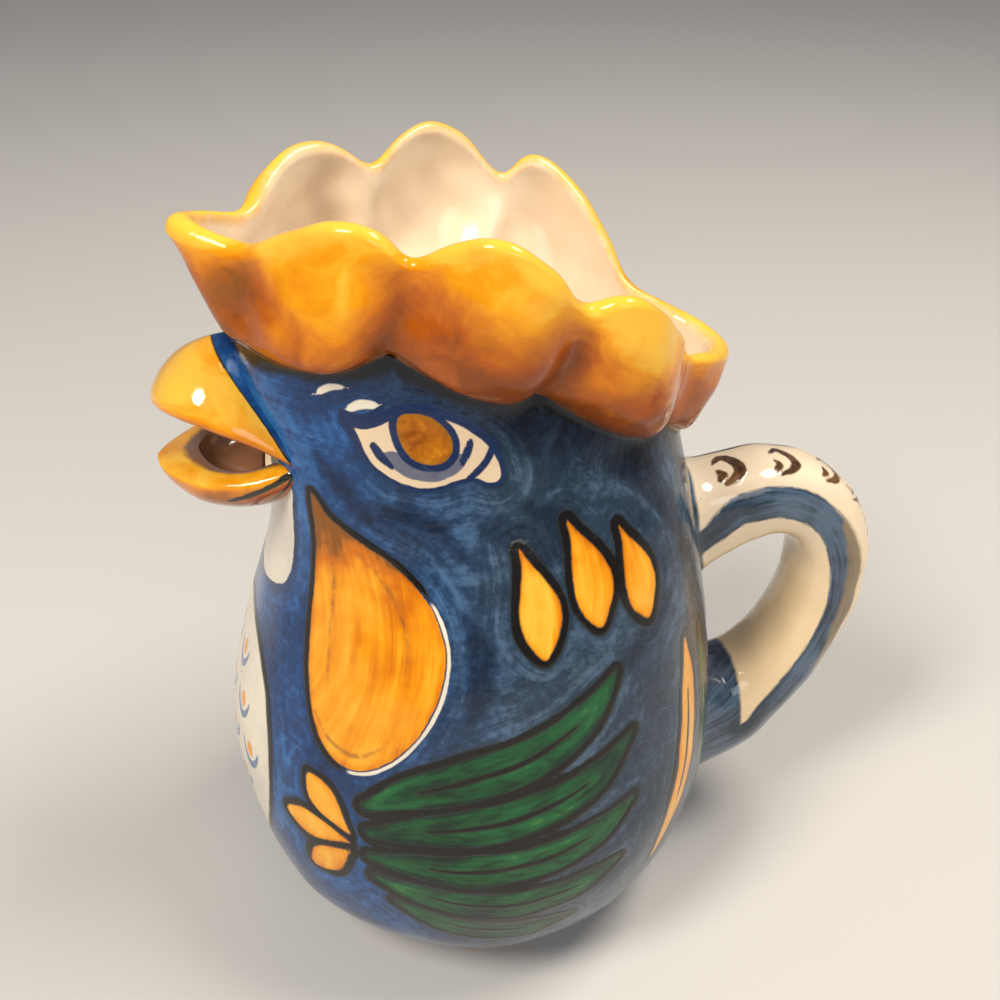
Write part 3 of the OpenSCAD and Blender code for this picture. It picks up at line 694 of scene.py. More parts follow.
class Mat:
    """short names for shader nodes; every argument may be a number, a colour or another node's output"""

    def __init__(self, name):
        self.mat = bpy.data.materials.new(name)
        self.mat.use_nodes = True
        self.tree = self.mat.node_tree
        self.tree.nodes.clear()
        co = self.node("ShaderNodeTexCoord")
        self.P = self.vscale(co.outputs["Object"], 1000.0)

    def node(self, kind, **props):
        n = self.tree.nodes.new(kind)
        for k, v in props.items():
            setattr(n, k, v)
        return n

    def put(self, value, socket):
        if isinstance(value, bpy.types.NodeSocket):
            self.tree.links.new(value, socket)
        elif value is not None:
            if hasattr(socket.default_value, "__len__") and not hasattr(value, "__len__"):
                socket.default_value = [value]*len(socket.default_value)
            elif hasattr(socket.default_value, "__len__"):
                socket.default_value = list(value)[:len(socket.default_value)]
            else:
                socket.default_value = value

    def math(self, op, a, b=None, c=None, clamp=False):
        n = self.node("ShaderNodeMath", operation=op, use_clamp=clamp)
        for v, s in zip((a, b, c), n.inputs):
            self.put(v, s)
        return n.outputs[0]

    def add(self, a, b): return self.math("ADD", a, b)
    def sub(self, a, b): return self.math("SUBTRACT", a, b)
    def mul(self, a, b): return self.math("MULTIPLY", a, b)
    def lo(self, a, b): return self.math("MINIMUM", a, b)
    def hi(self, a, b): return self.math("MAXIMUM", a, b)

    def vscale(self, v, k):
        n = self.node("ShaderNodeVectorMath", operation="SCALE")
        self.put(v, n.inputs[0])
        n.inputs["Scale"].default_value = k
        return n.outputs[0]

    def vmul(self, v, k):
        n = self.node("ShaderNodeVectorMath", operation="MULTIPLY")
        self.put(v, n.inputs[0])
        n.inputs[1].default_value = k
        return n.outputs[0]

    def xyz(self, v):
        n = self.node("ShaderNodeSeparateXYZ")
        self.put(v, n.inputs[0])
        return n.outputs

    def attr(self, name):
        return self.node("ShaderNodeAttribute", attribute_name=name).outputs["Fac"]

    def noise(self, scale, detail=2.0, rough=0.5, w=None, vec=None, dist=0.0, shift=0.0):
        """scale is waves per mm in space, w is waves counted across the strokes"""
        n = self.node("ShaderNodeTexNoise", noise_dimensions="4D")
        self.put(self.P if vec is None else vec, n.inputs["Vector"])
        n.inputs["Scale"].default_value = scale
        n.inputs["Detail"].default_value = detail
        n.inputs["Roughness"].default_value = rough
        n.inputs["Distortion"].default_value = dist
        self.put(shift*3.7/scale if w is None else self.add(self.mul(w, 1/scale), shift*3.7/scale), n.inputs["W"])
        return n.outputs["Fac"]

    def band(self, v, lo, hi, a=0.0, b=1.0):
        n = self.node("ShaderNodeMapRange", interpolation_type="SMOOTHSTEP")
        for x, s in zip((v, lo, hi, a, b), n.inputs):
            self.put(x, s)
        return n.outputs[0]

    def mix(self, f, a, b, mode="MIX"):
        n = self.node("ShaderNodeMix", data_type="RGBA", blend_type=mode)
        self.put(f, n.inputs[0])
        self.put(a, n.inputs[6])
        self.put(b, n.inputs[7])
        return n.outputs[2]

    def blend(self, f, a, b):
        n = self.node("ShaderNodeMix", data_type="FLOAT")
        for v, s in zip((f, a, b), n.inputs[:1] + n.inputs[2:4]):
            self.put(v, s)
        return n.outputs[0]

    def ramp(self, f, stops):
        n = self.node("ShaderNodeValToRGB")
        self.put(f, n.inputs[0])
        e = n.color_ramp.elements
        while len(e) < len(stops):
            e.new(0.5)
        for s, (p, c) in zip(e, stops):
            s.position, s.color = p, c
        return n.outputs[0]

    def specks(self, scale, size, seed=0.0, vec=None):
        """1 at the heart of scattered dots, 0 elsewhere"""
        n = self.node("ShaderNodeTexVoronoi", voronoi_dimensions="4D", feature="F1")
        self.put(self.P if vec is None else vec, n.inputs["Vector"])
        n.inputs["Scale"].default_value = scale
        n.inputs["W"].default_value = seed
        pick = self.xyz(n.outputs["Color"])[0]
        r = self.mul(pick, size)
        return self.band(n.outputs["Distance"], r, self.mul(r, 0.35), 0.0, 1.0)

    def finish(self, colour, rough, height=None, depth=0.1, coat=1.0, coat_rough=0.04, ior=1.5, spec=0.12):
        b = self.node("ShaderNodeBsdfPrincipled")
        self.put(colour, b.inputs["Base Color"])
        self.put(rough, b.inputs["Roughness"])
        b.inputs["IOR"].default_value = ior
        b.inputs["Specular IOR Level"].default_value = spec
        b.inputs["Coat Weight"].default_value = coat
        b.inputs["Coat Roughness"].default_value = coat_rough
        b.inputs["Coat IOR"].default_value = 1.5
        if height is not None:
            n = self.node("ShaderNodeBump")
            n.inputs["Strength"].default_value = 1.0
            n.inputs["Distance"].default_value = depth*0.001
            self.put(height, n.inputs["Height"])
            self.tree.links.new(n.outputs[0], b.inputs["Normal"])
            self.tree.links.new(n.outputs[0], b.inputs["Coat Normal"])
        out = self.node("ShaderNodeOutputMaterial")
        self.tree.links.new(b.outputs[0], out.inputs[0])
        return self.mat


# colours of the fired paints
WHITE, WHITE_2 = lin(240, 229, 208), lin(214, 206, 192)
BLUE_THIN, BLUE, BLUE_DEEP, BLUE_DARK = lin(58, 116, 172), lin(20, 63, 116), lin(12, 38, 78), lin(8, 19, 40)
SLATE_THIN, SLATE, SLATE_DEEP, SLATE_DARK = lin(88, 102, 110), lin(46, 62, 76), lin(29, 41, 56), lin(17, 24, 36)
YEL_THIN, YEL, YEL_DEEP, YEL_BURNT = lin(252, 188, 60), lin(242, 156, 18), lin(212, 114, 4), lin(124, 60, 2)
GREEN_THIN, GREEN, GREEN_DEEP = lin(96, 146, 64), lin(24, 98, 50), lin(8, 50, 28)
INK, INK_EDGE = lin(20, 17, 15), lin(44, 46, 30)
NAVY, SCALE_C = lin(22, 36, 74), lin(92, 122, 168)


def white_glaze(m):
    a = m.noise(0.045, 3, 0.6)
    b = m.noise(0.3, 3, 0.6, shift=3)
    c = m.mix(m.band(a, 0.35, 0.7), WHITE, WHITE_2)
    c = m.mix(m.mul(m.band(b, 0.5, 0.75), 0.25), c, lin(224, 206, 174))
    return c


def amber(m, low, deep=0.0):
    """amber glaze in broad brushed passes: thin and bright on proud edges, darker and burnt where low is larger, and
    the callers put painted shade into low
    """
    big = m.noise(0.045, 2, 0.5, dist=0.5)
    sweep = m.noise(0.10, 3, 0.55, w=m.mul(low, 1.6), shift=2, dist=0.9)
    fine = m.noise(0.9, 3, 0.6, shift=5)
    d = m.add(m.mul(m.sub(big, 0.5), 1.25), m.mul(m.sub(sweep, 0.5), 0.9))
    d = m.add(d, m.mul(m.sub(fine, 0.5), 0.16))
    # low darkens the amber here; it carries painted shade from the callers
    d = m.add(m.add(d, low), 0.26 + deep)
    c = m.ramp(d, [(0.0, lin(252, 192, 62)), (0.22, lin(242, 160, 16)), (0.48, lin(218, 126, 3)), (0.76, lin(180, 88, 1)), (1.0, lin(138, 66, 1))])
    # some passes lean to red, some to olive
    tint = m.noise(0.055, 2, 0.5, shift=17)
    c = m.mix(m.mul(m.band(tint, 0.52, 0.66), 0.4), c, m.mix(m.band(d, 0.2, 0.9), lin(238, 134, 6), lin(156, 62, 2)))
    c = m.mix(m.mul(m.band(tint, 0.46, 0.34), m.mul(m.band(d, 0.35, 0.9), 0.6)), c, lin(122, 78, 10))
    pits = m.mul(m.specks(0.55, 0.20, 1.0), m.band(m.noise(0.12, 2, 0.5, shift=9), 0.52, 0.64))
    c = m.mix(m.mul(pits, 0.75), c, lin(76, 44, 16))
    return c, d, pits


def body_paint():
    m = Mat("painted_body")
    x, y, z = m.xyz(m.P)
    wob = m.add(m.mul(m.sub(m.noise(0.28, 2, 0.5), 0.5), 0.8), m.mul(m.sub(m.noise(1.1, 2, 0.5, shift=4), 0.5), 0.3))
    A = {k: m.attr(k) for k in BODY_FIELDS}
    soft = lambda v, w=0.16, k=1.0: m.band(m.add(v, m.mul(wob, k)), w, -w)
    thin = lambda k, w=0.14, more=0.0: m.band(m.sub(m.math("ABSOLUTE", A[k]), m.add(m.add(A[k + "_w"], more), m.mul(wob, 0.45))), w, -w)
    # blue ground: strokes follow the painted shapes near them and run level elsewhere
    near = m.add(A["shapes"], m.mul(m.sub(m.noise(0.03, 2, 0.5, shift=41), 0.5), 8))
    down = m.band(m.add(x, m.mul(m.sub(m.noise(0.05, 2, 0.5, shift=43), 0.5), 20)), 10, 26)
    run = m.blend(down, z, A["turn"])
    flow = m.noise(0.035, 4, 0.6, w=m.mul(near, 0.22))
    flow2 = m.noise(0.05, 3, 0.6, w=m.mul(near, 0.8), shift=1)
    level = m.noise(0.03, 4, 0.6, w=m.mul(run, 0.2), shift=2)
    level2 = m.noise(0.045, 3, 0.6, w=m.mul(run, 0.7), shift=3)
    far = m.band(m.add(A["shapes"], m.mul(m.sub(m.noise(0.05, 2, 0.5, shift=47), 0.5), 8)), 3, 11)
    s1 = m.blend(far, flow, level)
    s2 = m.blend(far, flow2, level2)
    blot = m.noise(0.06, 3, 0.6, shift=7, dist=0.5)
    hair = m.blend(far, m.noise(0.06, 2, 0.6, w=m.mul(near, 1.9), shift=4), m.noise(0.06, 2, 0.6, w=m.mul(run, 1.7), shift=5))
    mott = m.noise(0.55, 4, 0.7, shift=33)
    amp = m.band(m.noise(0.05, 2, 0.5, shift=45), 0.35, 0.65, 0.45, 1.15)
    d = m.mul(m.add(m.mul(m.sub(s1, 0.5), 1.2), m.mul(m.sub(s2, 0.5), 0.6)), amp)
    d = m.add(d, m.add(m.mul(m.sub(hair, 0.5), 0.4), m.mul(m.sub(mott, 0.5), 0.9)))
    d = m.add(d, m.mul(m.sub(blot, 0.5), 1.0))
    d = m.add(d, m.mul(m.band(A["shapes"], 2.6, 0.2), 0.2))
    d = m.add(d, m.mul(m.band(m.add(A["dusk"], m.mul(m.sub(s2, 0.5), 7.0)), 1.1, -1.1), 0.3))
    # painted light: the blue is thinner and brighter on the forehead, where the comb shades it
    d = m.sub(d, m.mul(m.band(m.add(x, m.mul(m.sub(blot, 0.5), 14)), -29, -40), m.band(z, 106, 120, 0.0, 0.36)))
    d = m.add(d, 0.42)
    d = m.lo(d, m.add(0.78, m.mul(m.sub(mott, 0.5), 0.4)))
    # painted shade: the blue is darker within about 11 mm under the comb
    d = m.add(d, m.mul(m.band(A["prof"], 11, 0), 0.42))
    blue = m.ramp(d, [(0.0, BLUE_THIN), (0.2, lin(42, 98, 160)), (0.45, BLUE), (0.75, BLUE_DEEP), (1.0, BLUE_DARK)])
    slate = m.ramp(d, [(0.0, SLATE_THIN), (0.2, lin(78, 98, 116)), (0.45, SLATE), (0.75, SLATE_DEEP), (1.0, SLATE_DARK)])
    rear = m.band(m.add(x, m.mul(m.sub(blot, 0.5), 34)), -37, 3)
    c = m.mix(m.mul(rear, 0.92), blue, slate)
    # scratches of a stiff brush, thin enough to show the glaze
    scr = m.band(m.noise(0.08, 4, 0.7, w=m.mul(A["prof"], 0.9), shift=21), 0.64, 0.74)
    c = m.mix(m.mul(scr, m.mul(m.band(z, 112, 124, 0.2, 1.0), m.band(x, -20, -42, 0.35, 0.8))), c, lin(150, 184, 214))
    # bare glaze
    wg = white_glaze(m)
    pale = m.lo(A["throat"], m.lo(A["eye"], A["bib"]))
    c = m.mix(soft(pale), c, wg)
    c = m.mix(m.mul(soft(A["eye"]), 0.6), c, lin(236, 198, 148))
    # painted highlights over the lid, in bare-glaze white
    c = m.mix(m.hi(thin("white", 0.2), thin("lash", 0.2)), c, wg)
    # behind the wattle a bare line is left
    gap = m.sub(m.math("ABSOLUTE", m.sub(A["wattle"], 0.65)), m.add(0.34, m.mul(wob, 0.5)))
    c = m.mix(m.mul(m.band(gap, 0.14, -0.14), m.band(A["front"], 0.1, -0.4)), c, wg)
    # chest scales
    c = m.mix(m.mul(thin("scale", 0.2), 0.92), c, m.mix(m.band(m.noise(0.5, 3, 0.6), 0.4, 0.7), SCALE_C, lin(40, 74, 136)))
    # yellows
    yel = m.lo(A["yellow"], A["wattle"])
    across = m.add(m.add(A["turn"], m.mul(yel, 0.35)), m.mul(m.noise(0.05, 2, 0.5, shift=51), 6))
    ys = m.noise(0.035, 4, 0.6, w=m.mul(across, 0.2), shift=2)
    ys2 = m.noise(0.045, 4, 0.65, w=m.mul(across, 0.8))
    yb = m.noise(0.09, 3, 0.6, shift=11)
    yd = m.add(m.add(m.mul(m.sub(ys, 0.5), 1.1), m.mul(m.sub(ys2, 0.5), 0.7)), m.mul(m.sub(yb, 0.5), 1.0))
    yd = m.sub(yd, m.mul(m.band(A["yellow"], 0.5, -0.5), 0.22))
    yd = m.add(yd, m.add(m.mul(m.band(yel, -1.8, 0.0), 0.2), 0.34))
    yd = m.add(yd, m.mul(m.band(m.add(z, m.mul(m.sub(yb, 0.5), 16)), 94, 112), m.mul(m.band(A["wattle"], 0.5, -0.5), 0.62)))
    yc = m.ramp(yd, [(0.0, YEL_THIN), (0.32, YEL), (0.62, YEL_DEEP), (0.85, lin(184, 104, 18)), (1.0, lin(136, 80, 18))])
    dry = m.band(m.noise(0.07, 4, 0.7, w=m.mul(across, 1.1), shift=5), 0.63, 0.73)
    dry = m.hi(m.mul(dry, 0.45), m.mul(thin("dry", 0.5, -0.1), m.band(m.noise(0.5, 3, 0.6, shift=31), 0.35, 0.6, 0.1, 0.7)))
    yc = m.mix(dry, yc, lin(146, 86, 34))
    c = m.mix(soft(yel), c, yc)
    c = m.mix(soft(A["spot"]), c, YEL)
    # greens
    gs = m.noise(0.05, 4, 0.65, w=m.mul(A["green"], 0.4), shift=1)
    gb = m.noise(0.1, 3, 0.6, shift=13)
    gd = m.add(m.add(m.mul(m.sub(gs, 0.5), 1.9), m.mul(m.sub(gb, 0.5), 1.1)), 0.52)
    gd = m.add(gd, m.mul(m.band(A["green"], -1.6, 0.0), 0.25))
    gc = m.ramp(gd, [(0.0, GREEN_THIN), (0.33, GREEN), (0.75, GREEN_DEEP), (1.0, lin(6, 22, 18))])
    c = m.mix(soft(A["green"]), c, gc)
    # eye
    c = m.mix(m.mul(soft(A["wash"]), 0.95), c, m.mix(m.noise(0.4, 3, 0.6), lin(60, 72, 100), lin(116, 120, 136)))
    ib = m.noise(0.22, 4, 0.6, shift=6, dist=0.8)
    ic = m.ramp(m.add(m.mul(m.sub(ib, 0.5), 1.9), 0.5), [(0.0, lin(226, 160, 34)), (0.4, lin(190, 112, 12)), (0.75, lin(150, 78, 6)), (1.0, lin(112, 56, 4))])
    ic = m.mix(m.band(A["iris"], -1.6, -0.3, 0.0, 0.35), ic, lin(120, 110, 30))
    c = m.mix(soft(A["iris"], 0.16, 0.5), c, ic)
    nv = m.mix(m.noise(0.6, 3, 0.6), NAVY, lin(34, 54, 92))
    ring = m.sub(m.math("ABSOLUTE", m.sub(A["iris"], 0.15)), m.add(0.62, m.mul(wob, 0.6)))
    lid = m.sub(m.math("ABSOLUTE", m.sub(A["eye"], 0.3)), m.add(m.add(0.62, m.mul(A["lid"], 0.26)), m.mul(wob, 0.6)))
    c = m.mix(m.band(m.lo(ring, lid), 0.15, -0.15), c, nv)
    c = m.mix(m.hi(m.hi(thin("navy", 0.16), soft(A["dash"], 0.16, 0.5)), m.mul(soft(A["broad"], 0.3), 0.85)), c, nv)
    # dark lines round the shapes, and the dark band under the comb, partly dark paint and partly painted shadow of the
    # comb
    shape = m.lo(A["green"], A["yellow"])
    swell = m.mul(m.sub(m.noise(0.07, 2, 0.5, shift=27), 0.5), 1.1)
    ink = m.sub(m.math("ABSOLUTE", m.sub(shape, 0.75)), m.add(m.add(0.66, swell), m.mul(wob, 0.5)))
    ink = m.lo(ink, m.sub(m.math("ABSOLUTE", m.sub(A["bib"], 0.3)), m.add(m.add(0.62, swell), m.mul(wob, 0.5))))
    front = m.sub(m.math("ABSOLUTE", m.sub(A["wattle"], 0.6)), m.add(m.mul(A["front"], 1.0), m.add(-0.42, m.mul(wob, 0.5))))
    ink = m.lo(ink, front)
    ink = m.lo(ink, m.sub(m.math("ABSOLUTE", A["rib"]), m.add(A["rib_w"], m.mul(wob, 0.4))))
    c = m.mix(m.mul(thin("barb", 0.5), m.mul(soft(A["green"]), 0.6)), c, lin(10, 40, 24))
    # under the comb: a dark band, wider in the valleys between lobes, partly painted shadow
    under = m.sub(m.math("ABSOLUTE", m.sub(A["prof"], 0.5)), m.add(m.mul(A["valley"], 2.4), m.add(0.55, m.mul(m.sub(m.noise(0.12, 3, 0.6, shift=8), 0.5), 3.4))))
    uc = m.mix(m.noise(0.3, 2, 0.5, shift=15), lin(5, 10, 24), lin(12, 16, 22))
    c = m.mix(m.band(m.add(under, wob), 1.0, -0.8), c, uc)
    c = m.mix(m.mul(m.band(ink, 0.55, 0.0), 0.6), c, INK_EDGE)
    c = m.mix(m.band(ink, 0.14, -0.14), c, INK)
    pits = m.mul(m.specks(0.6, 0.16, 2.0), m.band(m.noise(0.1, 2, 0.5, shift=19), 0.52, 0.64))
    c = m.mix(m.mul(pits, 0.7), c, lin(40, 34, 30))
    # relief: paint lies proud of the glaze, strokes leave ridges
    h = m.add(m.mul(s2, 0.6), m.mul(s1, 0.6))
    h = m.add(h, m.mul(m.band(ink, 0.4, -0.4), 0.45))
    h = m.add(h, m.mul(soft(yel, 0.5), 0.3))
    h = m.sub(h, m.mul(pits, 0.8))
    h = m.add(h, m.mul(scr, 0.5))
    h = m.add(h, m.mul(m.noise(0.9, 2, 0.5, shift=23), 0.45))
    rough = m.blend(m.noise(0.2, 2, 0.5), 0.16, 0.34)
    return m.finish(c, rough, h, 0.10, coat=0.52, coat_rough=0.07)


def plain_white(name):
    m = Mat(name)
    x, y, z = m.xyz(m.P)
    # painted warm bounce light, stronger higher up
    c = m.mix(m.band(z, 60, 112, 0.1, 0.7), white_glaze(m), lin(254, 224, 184))
    hol = m.attr("hollow")
    # painted shade in the hollows
    c = m.mix(m.band(hol, 0.1, 0.8, 0.0, 0.35), c, lin(216, 182, 138))
    pits = m.mul(m.specks(0.35, 0.12, 4.0), m.band(m.noise(0.08, 2, 0.5, shift=5), 0.5, 0.6))
    c = m.mix(m.mul(pits, 0.6), c, lin(120, 96, 70))
    h = m.sub(m.mul(m.noise(0.5, 3, 0.5), 0.6), pits)
    return m.finish(c, m.blend(m.noise(0.2, 2, 0.5), 0.14, 0.28), h, 0.08, coat=0.9, coat_rough=0.06)


def comb_paint():
    m = Mat("amber_comb")
    hol, over, prof = m.attr("hollow"), m.attr("over"), m.attr("prof")
    # low: painted shade on faces turned down and in the hollows, and a darker foot of the comb that is partly the
    # glaze's own colour and partly painted shade; the glaze is lighter near the lip
    low = m.add(m.mul(m.attr("below"), 0.3), m.mul(hol, 0.15))
    low = m.add(low, m.add(m.band(m.add(prof, m.mul(m.sub(m.noise(0.07, 2, 0.5, shift=29), 0.5), 13)), -23, -9, 0.0, 0.56), m.band(prof, -8, -1, 0.0, 0.12)))
    low = m.sub(low, m.band(over, -6.5, -1.5, 0.0, 0.2))
    a, d, pits = amber(m, low)
    # painted shade: dark brown in the crease where the comb meets the head
    a = m.mix(m.band(prof, -1.5, 0.3, 0.0, 0.85), a, lin(40, 28, 18))
    # inside of the comb: painted warm bounce light over the white, and painted shade in its hollows
    w = m.mix(0.7, white_glaze(m), lin(254, 224, 184))
    w = m.mix(m.band(hol, 0.1, 0.9, 0.0, 0.4), w, lin(232, 188, 134))
    edge = m.add(over, m.add(m.mul(m.sub(m.noise(0.16, 3, 0.6, shift=2), 0.5), 4.0), m.mul(m.sub(m.noise(0.9, 3, 0.6, shift=7), 0.5), 1.2)))
    rim = m.mix(m.band(edge, 3.8, 1.0, 0.0, 0.75), w, m.mix(m.noise(0.3, 3, 0.6), YEL_THIN, lin(226, 158, 60)))
    c = m.mix(m.band(edge, 0.0, 1.6), a, rim)
    h = m.add(m.mul(d, 0.35), m.mul(m.noise(0.6, 3, 0.5, shift=3), 0.5))
    h = m.sub(h, m.mul(pits, 1.0))
    rough = m.blend(m.noise(0.25, 2, 0.5), 0.12, 0.28)
    return m.finish(c, rough, h, 0.12, coat=0.5, coat_rough=0.05)


def beak_paint(name):
    m = Mat(name)
    inn, root, cor = m.attr("inner"), m.attr("root"), m.attr("corner")
    x, y, z = m.xyz(m.P)
    # the amber is darker on faces turned down (painted shade), towards the mouth corner and at the root
    a, d, pits = amber(m, m.add(m.mul(m.attr("below"), 0.5), m.add(m.mul(cor, 0.35), m.band(root, 6, 0, 0.0, 0.12))), -0.26)
    wob = m.mul(m.sub(m.noise(0.5, 2, 0.5), 0.5), 0.7)
    mouth = m.mix(m.noise(0.2, 3, 0.6), lin(150, 106, 78), lin(106, 70, 48))
    c = m.mix(m.band(m.add(inn, m.mul(wob, 1.5)), 0.2, 1.6), a, mouth)
    # the root of the upper half is painted with the head
    blot = m.noise(0.06, 3, 0.6, shift=7, dist=0.5)
    d2 = m.add(m.add(m.mul(m.sub(blot, 0.5), 1.1), m.mul(m.sub(m.noise(0.12, 4, 0.65, shift=12), 0.5), 1.6)), 0.42)
    blue = m.ramp(d2, [(0.0, BLUE_THIN), (0.2, lin(42, 98, 160)), (0.45, BLUE), (0.75, BLUE_DEEP), (1.0, BLUE_DARK)])
    outer = m.band(inn, -0.5, -1.8)
    c = m.mix(m.mul(m.mul(m.band(m.add(root, wob), 0.15, -0.15), m.attr("blue")), outer), c, blue)
    ink = m.sub(m.math("ABSOLUTE", root), m.add(m.add(0.16, m.mul(cor, 0.3)), m.mul(wob, 0.8)))
    # a stroke slants down and forward from the corner over the lower half
    slant = m.add(m.mul(m.add(x, 35.6), 0.447), m.mul(m.sub(z, 115.5), -0.894))
    slant = m.sub(m.math("ABSOLUTE", m.add(slant, m.mul(wob, 0.5))), m.add(m.band(x, -49, -45.5, -0.5, 0.58), m.mul(wob, 0.4)))
    ink = m.lo(ink, slant)
    c = m.mix(m.mul(m.band(ink, 0.2, -0.2), outer), c, m.mix(m.noise(0.4, 2, 0.5), INK, lin(30, 46, 28)))
    h = m.sub(m.add(m.mul(d, 0.3), m.mul(m.noise(0.7, 3, 0.5, shift=3), 0.5)), pits)
    return m.finish(c, m.blend(m.noise(0.25, 2, 0.5), 0.12, 0.26), h, 0.10, coat=1.0, coat_rough=0.05)


def handle_paint():
    m = Mat("painted_handle")
    A = {k: m.attr(k) for k in HANDLE_FIELDS}
    x, y, z = m.xyz(m.P)
    wob = m.add(m.mul(m.sub(m.noise(0.3, 2, 0.5), 0.5), 1.0), m.mul(m.sub(m.noise(1.2, 2, 0.5, shift=4), 0.5), 0.35))
    c = white_glaze(m)
    # painted warm bounce light, stronger lower down
    c = m.mix(m.band(m.add(z, m.mul(m.sub(m.noise(0.06, 3, 0.6, shift=8), 0.5), 40)), 100, 60, 0.4, 0.8), c, lin(255, 219, 164))
    s = m.noise(0.05, 4, 0.6, w=m.mul(A["band"], 0.9))
    d = m.add(m.add(m.mul(m.sub(s, 0.5), 1.7), m.mul(m.sub(m.noise(0.1, 3, 0.6, shift=6), 0.5), 1.2)), 0.46)
    slate = m.ramp(d, [(0.0, SLATE_THIN), (0.28, lin(84, 104, 128)), (0.6, SLATE), (1.0, SLATE_DEEP)])
    c = m.mix(m.band(m.add(A["band"], wob), 0.3, -0.3), c, slate)
    c = m.mix(m.band(m.add(A["foot"], m.mul(wob, 0.8)), 0.5, -0.5), c, slate)
    # beyond the bend the band thins out to a brown wash along its outer side
    c = m.mix(m.mul(m.band(m.add(A["umber"], m.mul(wob, 1.2)), 0.7, -0.7), 0.85), c,
              m.mix(m.noise(0.1, 4, 0.65, w=m.mul(A["band"], 0.5), shift=14), lin(176, 146, 100), lin(104, 94, 78)))
    edge = m.sub(m.math("ABSOLUTE", m.sub(A["band"], 0.1)), m.add(-0.12, m.mul(wob, 0.9)))
    c = m.mix(m.mul(m.band(edge, 0.3, -0.1), 0.7), c, NAVY)
    c = m.mix(m.band(m.add(A["yellow"], wob), 0.3, -0.4), c, m.mix(m.noise(0.5, 2, 0.5), lin(214, 160, 62), lin(150, 100, 44)))
    b = m.band(m.add(A["brown"], wob), 0.25, -0.25)
    c = m.mix(b, c, m.mix(m.band(m.noise(0.45, 3, 0.6, shift=3), 0.35, 0.7), lin(52, 32, 16), lin(124, 82, 34)))
    k = m.band(m.sub(m.math("ABSOLUTE", A["line"]), m.add(A["line_w"], m.mul(wob, 0.3))), 0.18, -0.18)
    c = m.mix(k, c, INK)
    pits = m.mul(m.specks(0.6, 0.16, 6.0), m.band(m.noise(0.1, 2, 0.5, shift=19), 0.5, 0.62))
    c = m.mix(m.mul(pits, 0.7), c, lin(70, 52, 34))
    h = m.add(m.add(m.mul(m.noise(0.6, 3, 0.5), 0.5), m.mul(k, 0.5)), m.mul(b, 0.5))
    h = m.sub(h, pits)
    return m.finish(c, m.blend(m.noise(0.25, 2, 0.5), 0.14, 0.3), h, 0.10, coat=0.9, coat_rough=0.06)


def clay_paint():
    m = Mat("bare_clay_foot")
    x, y, z = m.xyz(m.P)
    a = m.noise(0.12, 4, 0.6)
    g = m.noise(3.0, 3, 0.7, shift=3)
    c = m.ramp(m.add(m.mul(m.sub(a, 0.5), 1.3), 0.5), [(0.0, lin(196, 150, 118)), (0.5, lin(172, 118, 86)), (1.0, lin(132, 84, 60))])
    c = m.mix(m.mul(m.specks(1.6, 0.3, 1.0), 0.6), c, lin(84, 58, 44))
    worn = m.band(m.add(z, m.mul(m.sub(g, 0.5), 0.8)), 0.5, 0.1)
    c = m.mix(m.mul(worn, 0.55), c, lin(120, 98, 84))
    h = m.sub(g, m.mul(m.specks(1.2, 0.25, 2.0), 0.8))
    return m.finish(c, m.blend(a, 0.72, 0.88), h, 0.16, coat=0.0, coat_rough=0.3, ior=1.45, spec=0.35)


BODY_FIELDS = ("wattle", "front", "eye", "lid", "iris", "wash", "navy", "navy_w", "dash", "white", "white_w", "lash", "lash_w", "dusk",
               "dry", "dry_w", "throat", "bib", "scale", "scale_w", "spot", "green", "yellow", "rib", "rib_w", "barb", "barb_w",
               "broad", "shapes", "prof", "valley", "turn")
HANDLE_FIELDS = ("band", "foot", "umber", "brown", "line", "line_w", "yellow")
MAT_BODY, MAT_IN, MAT_UNDER = body_paint(), plain_white("white_inside"), plain_white("white_underside")
MAT_COMB, MAT_HANDLE, MAT_CLAY = comb_paint(), handle_paint(), clay_paint()
MAT_BEAK = beak_paint("amber_beak")

# ------------------------------------------------------------------ body shell and comb pieces
fields = {}
blank = np.full(NR*COLS + 2, 60.0)
for k, v in canvas.layers.items():
    f = blank.copy()
    f[pid] = v
    fields[k] = f
fields["shapes"] = np.minimum(fields["shapes"], 60)
for k in ("navy_w", "white_w", "dry_w", "scale_w", "rib_w", "barb_w"):
    f = np.full(NR*COLS + 2, -0.6)
    f[pid] = canvas.layers[k]
    fields[k] = f
ext = lambda A: np.concatenate([A.reshape(-1), [A[0].mean(), A[-1].mean()]])
fields["prof"] = ext(PROF)
fields["hollow"] = ext(HOLLOW)
fields["over"] = ext(OVER)
fields["valley"] = ext(np.tile(1 - lobe(u, 0.12), (NR, 1)))
fields["turn"] = ext(chart_th*0.8)
fields["below"] = np.clip(-ALL_N[:, 2], -0.3, 1)
assert all(k in fields for k in BODY_FIELDS)


def block(r0, r1, c0, c1, uvbox, m):
    """cells of rows r0..r1 and columns c0..c1 (columns may run past the seam)"""
    cols = np.arange(c0, c1) % COLS
    k = keep[r0:r1][:, cols]
    return (cell[r0:r1][:, cols][k], True, chart_uv(r0, r1, c0, c1, uvbox)[k], m)


def tiny_uv(n, k, box):
    """a row of small separate patches for faces that are hidden inside the clay"""
    w = (box[2] - box[0])/n
    x = box[0] + w*np.arange(n)[:, None]
    if k == 3:
        return np.stack([np.concatenate([x, x + w*0.9, x], 1),
                         np.tile([box[1], box[1], box[3]], (n, 1))], -1)
    return np.stack([np.concatenate([x, x + w*0.9, x + w*0.9, x], 1), np.tile([box[1], box[1], box[3], box[3]], (n, 1))], -1)


def disc_uv(idx_faces, P, centre, scale):
    q = P[idx_faces][..., :2]
    return q*scale + centre


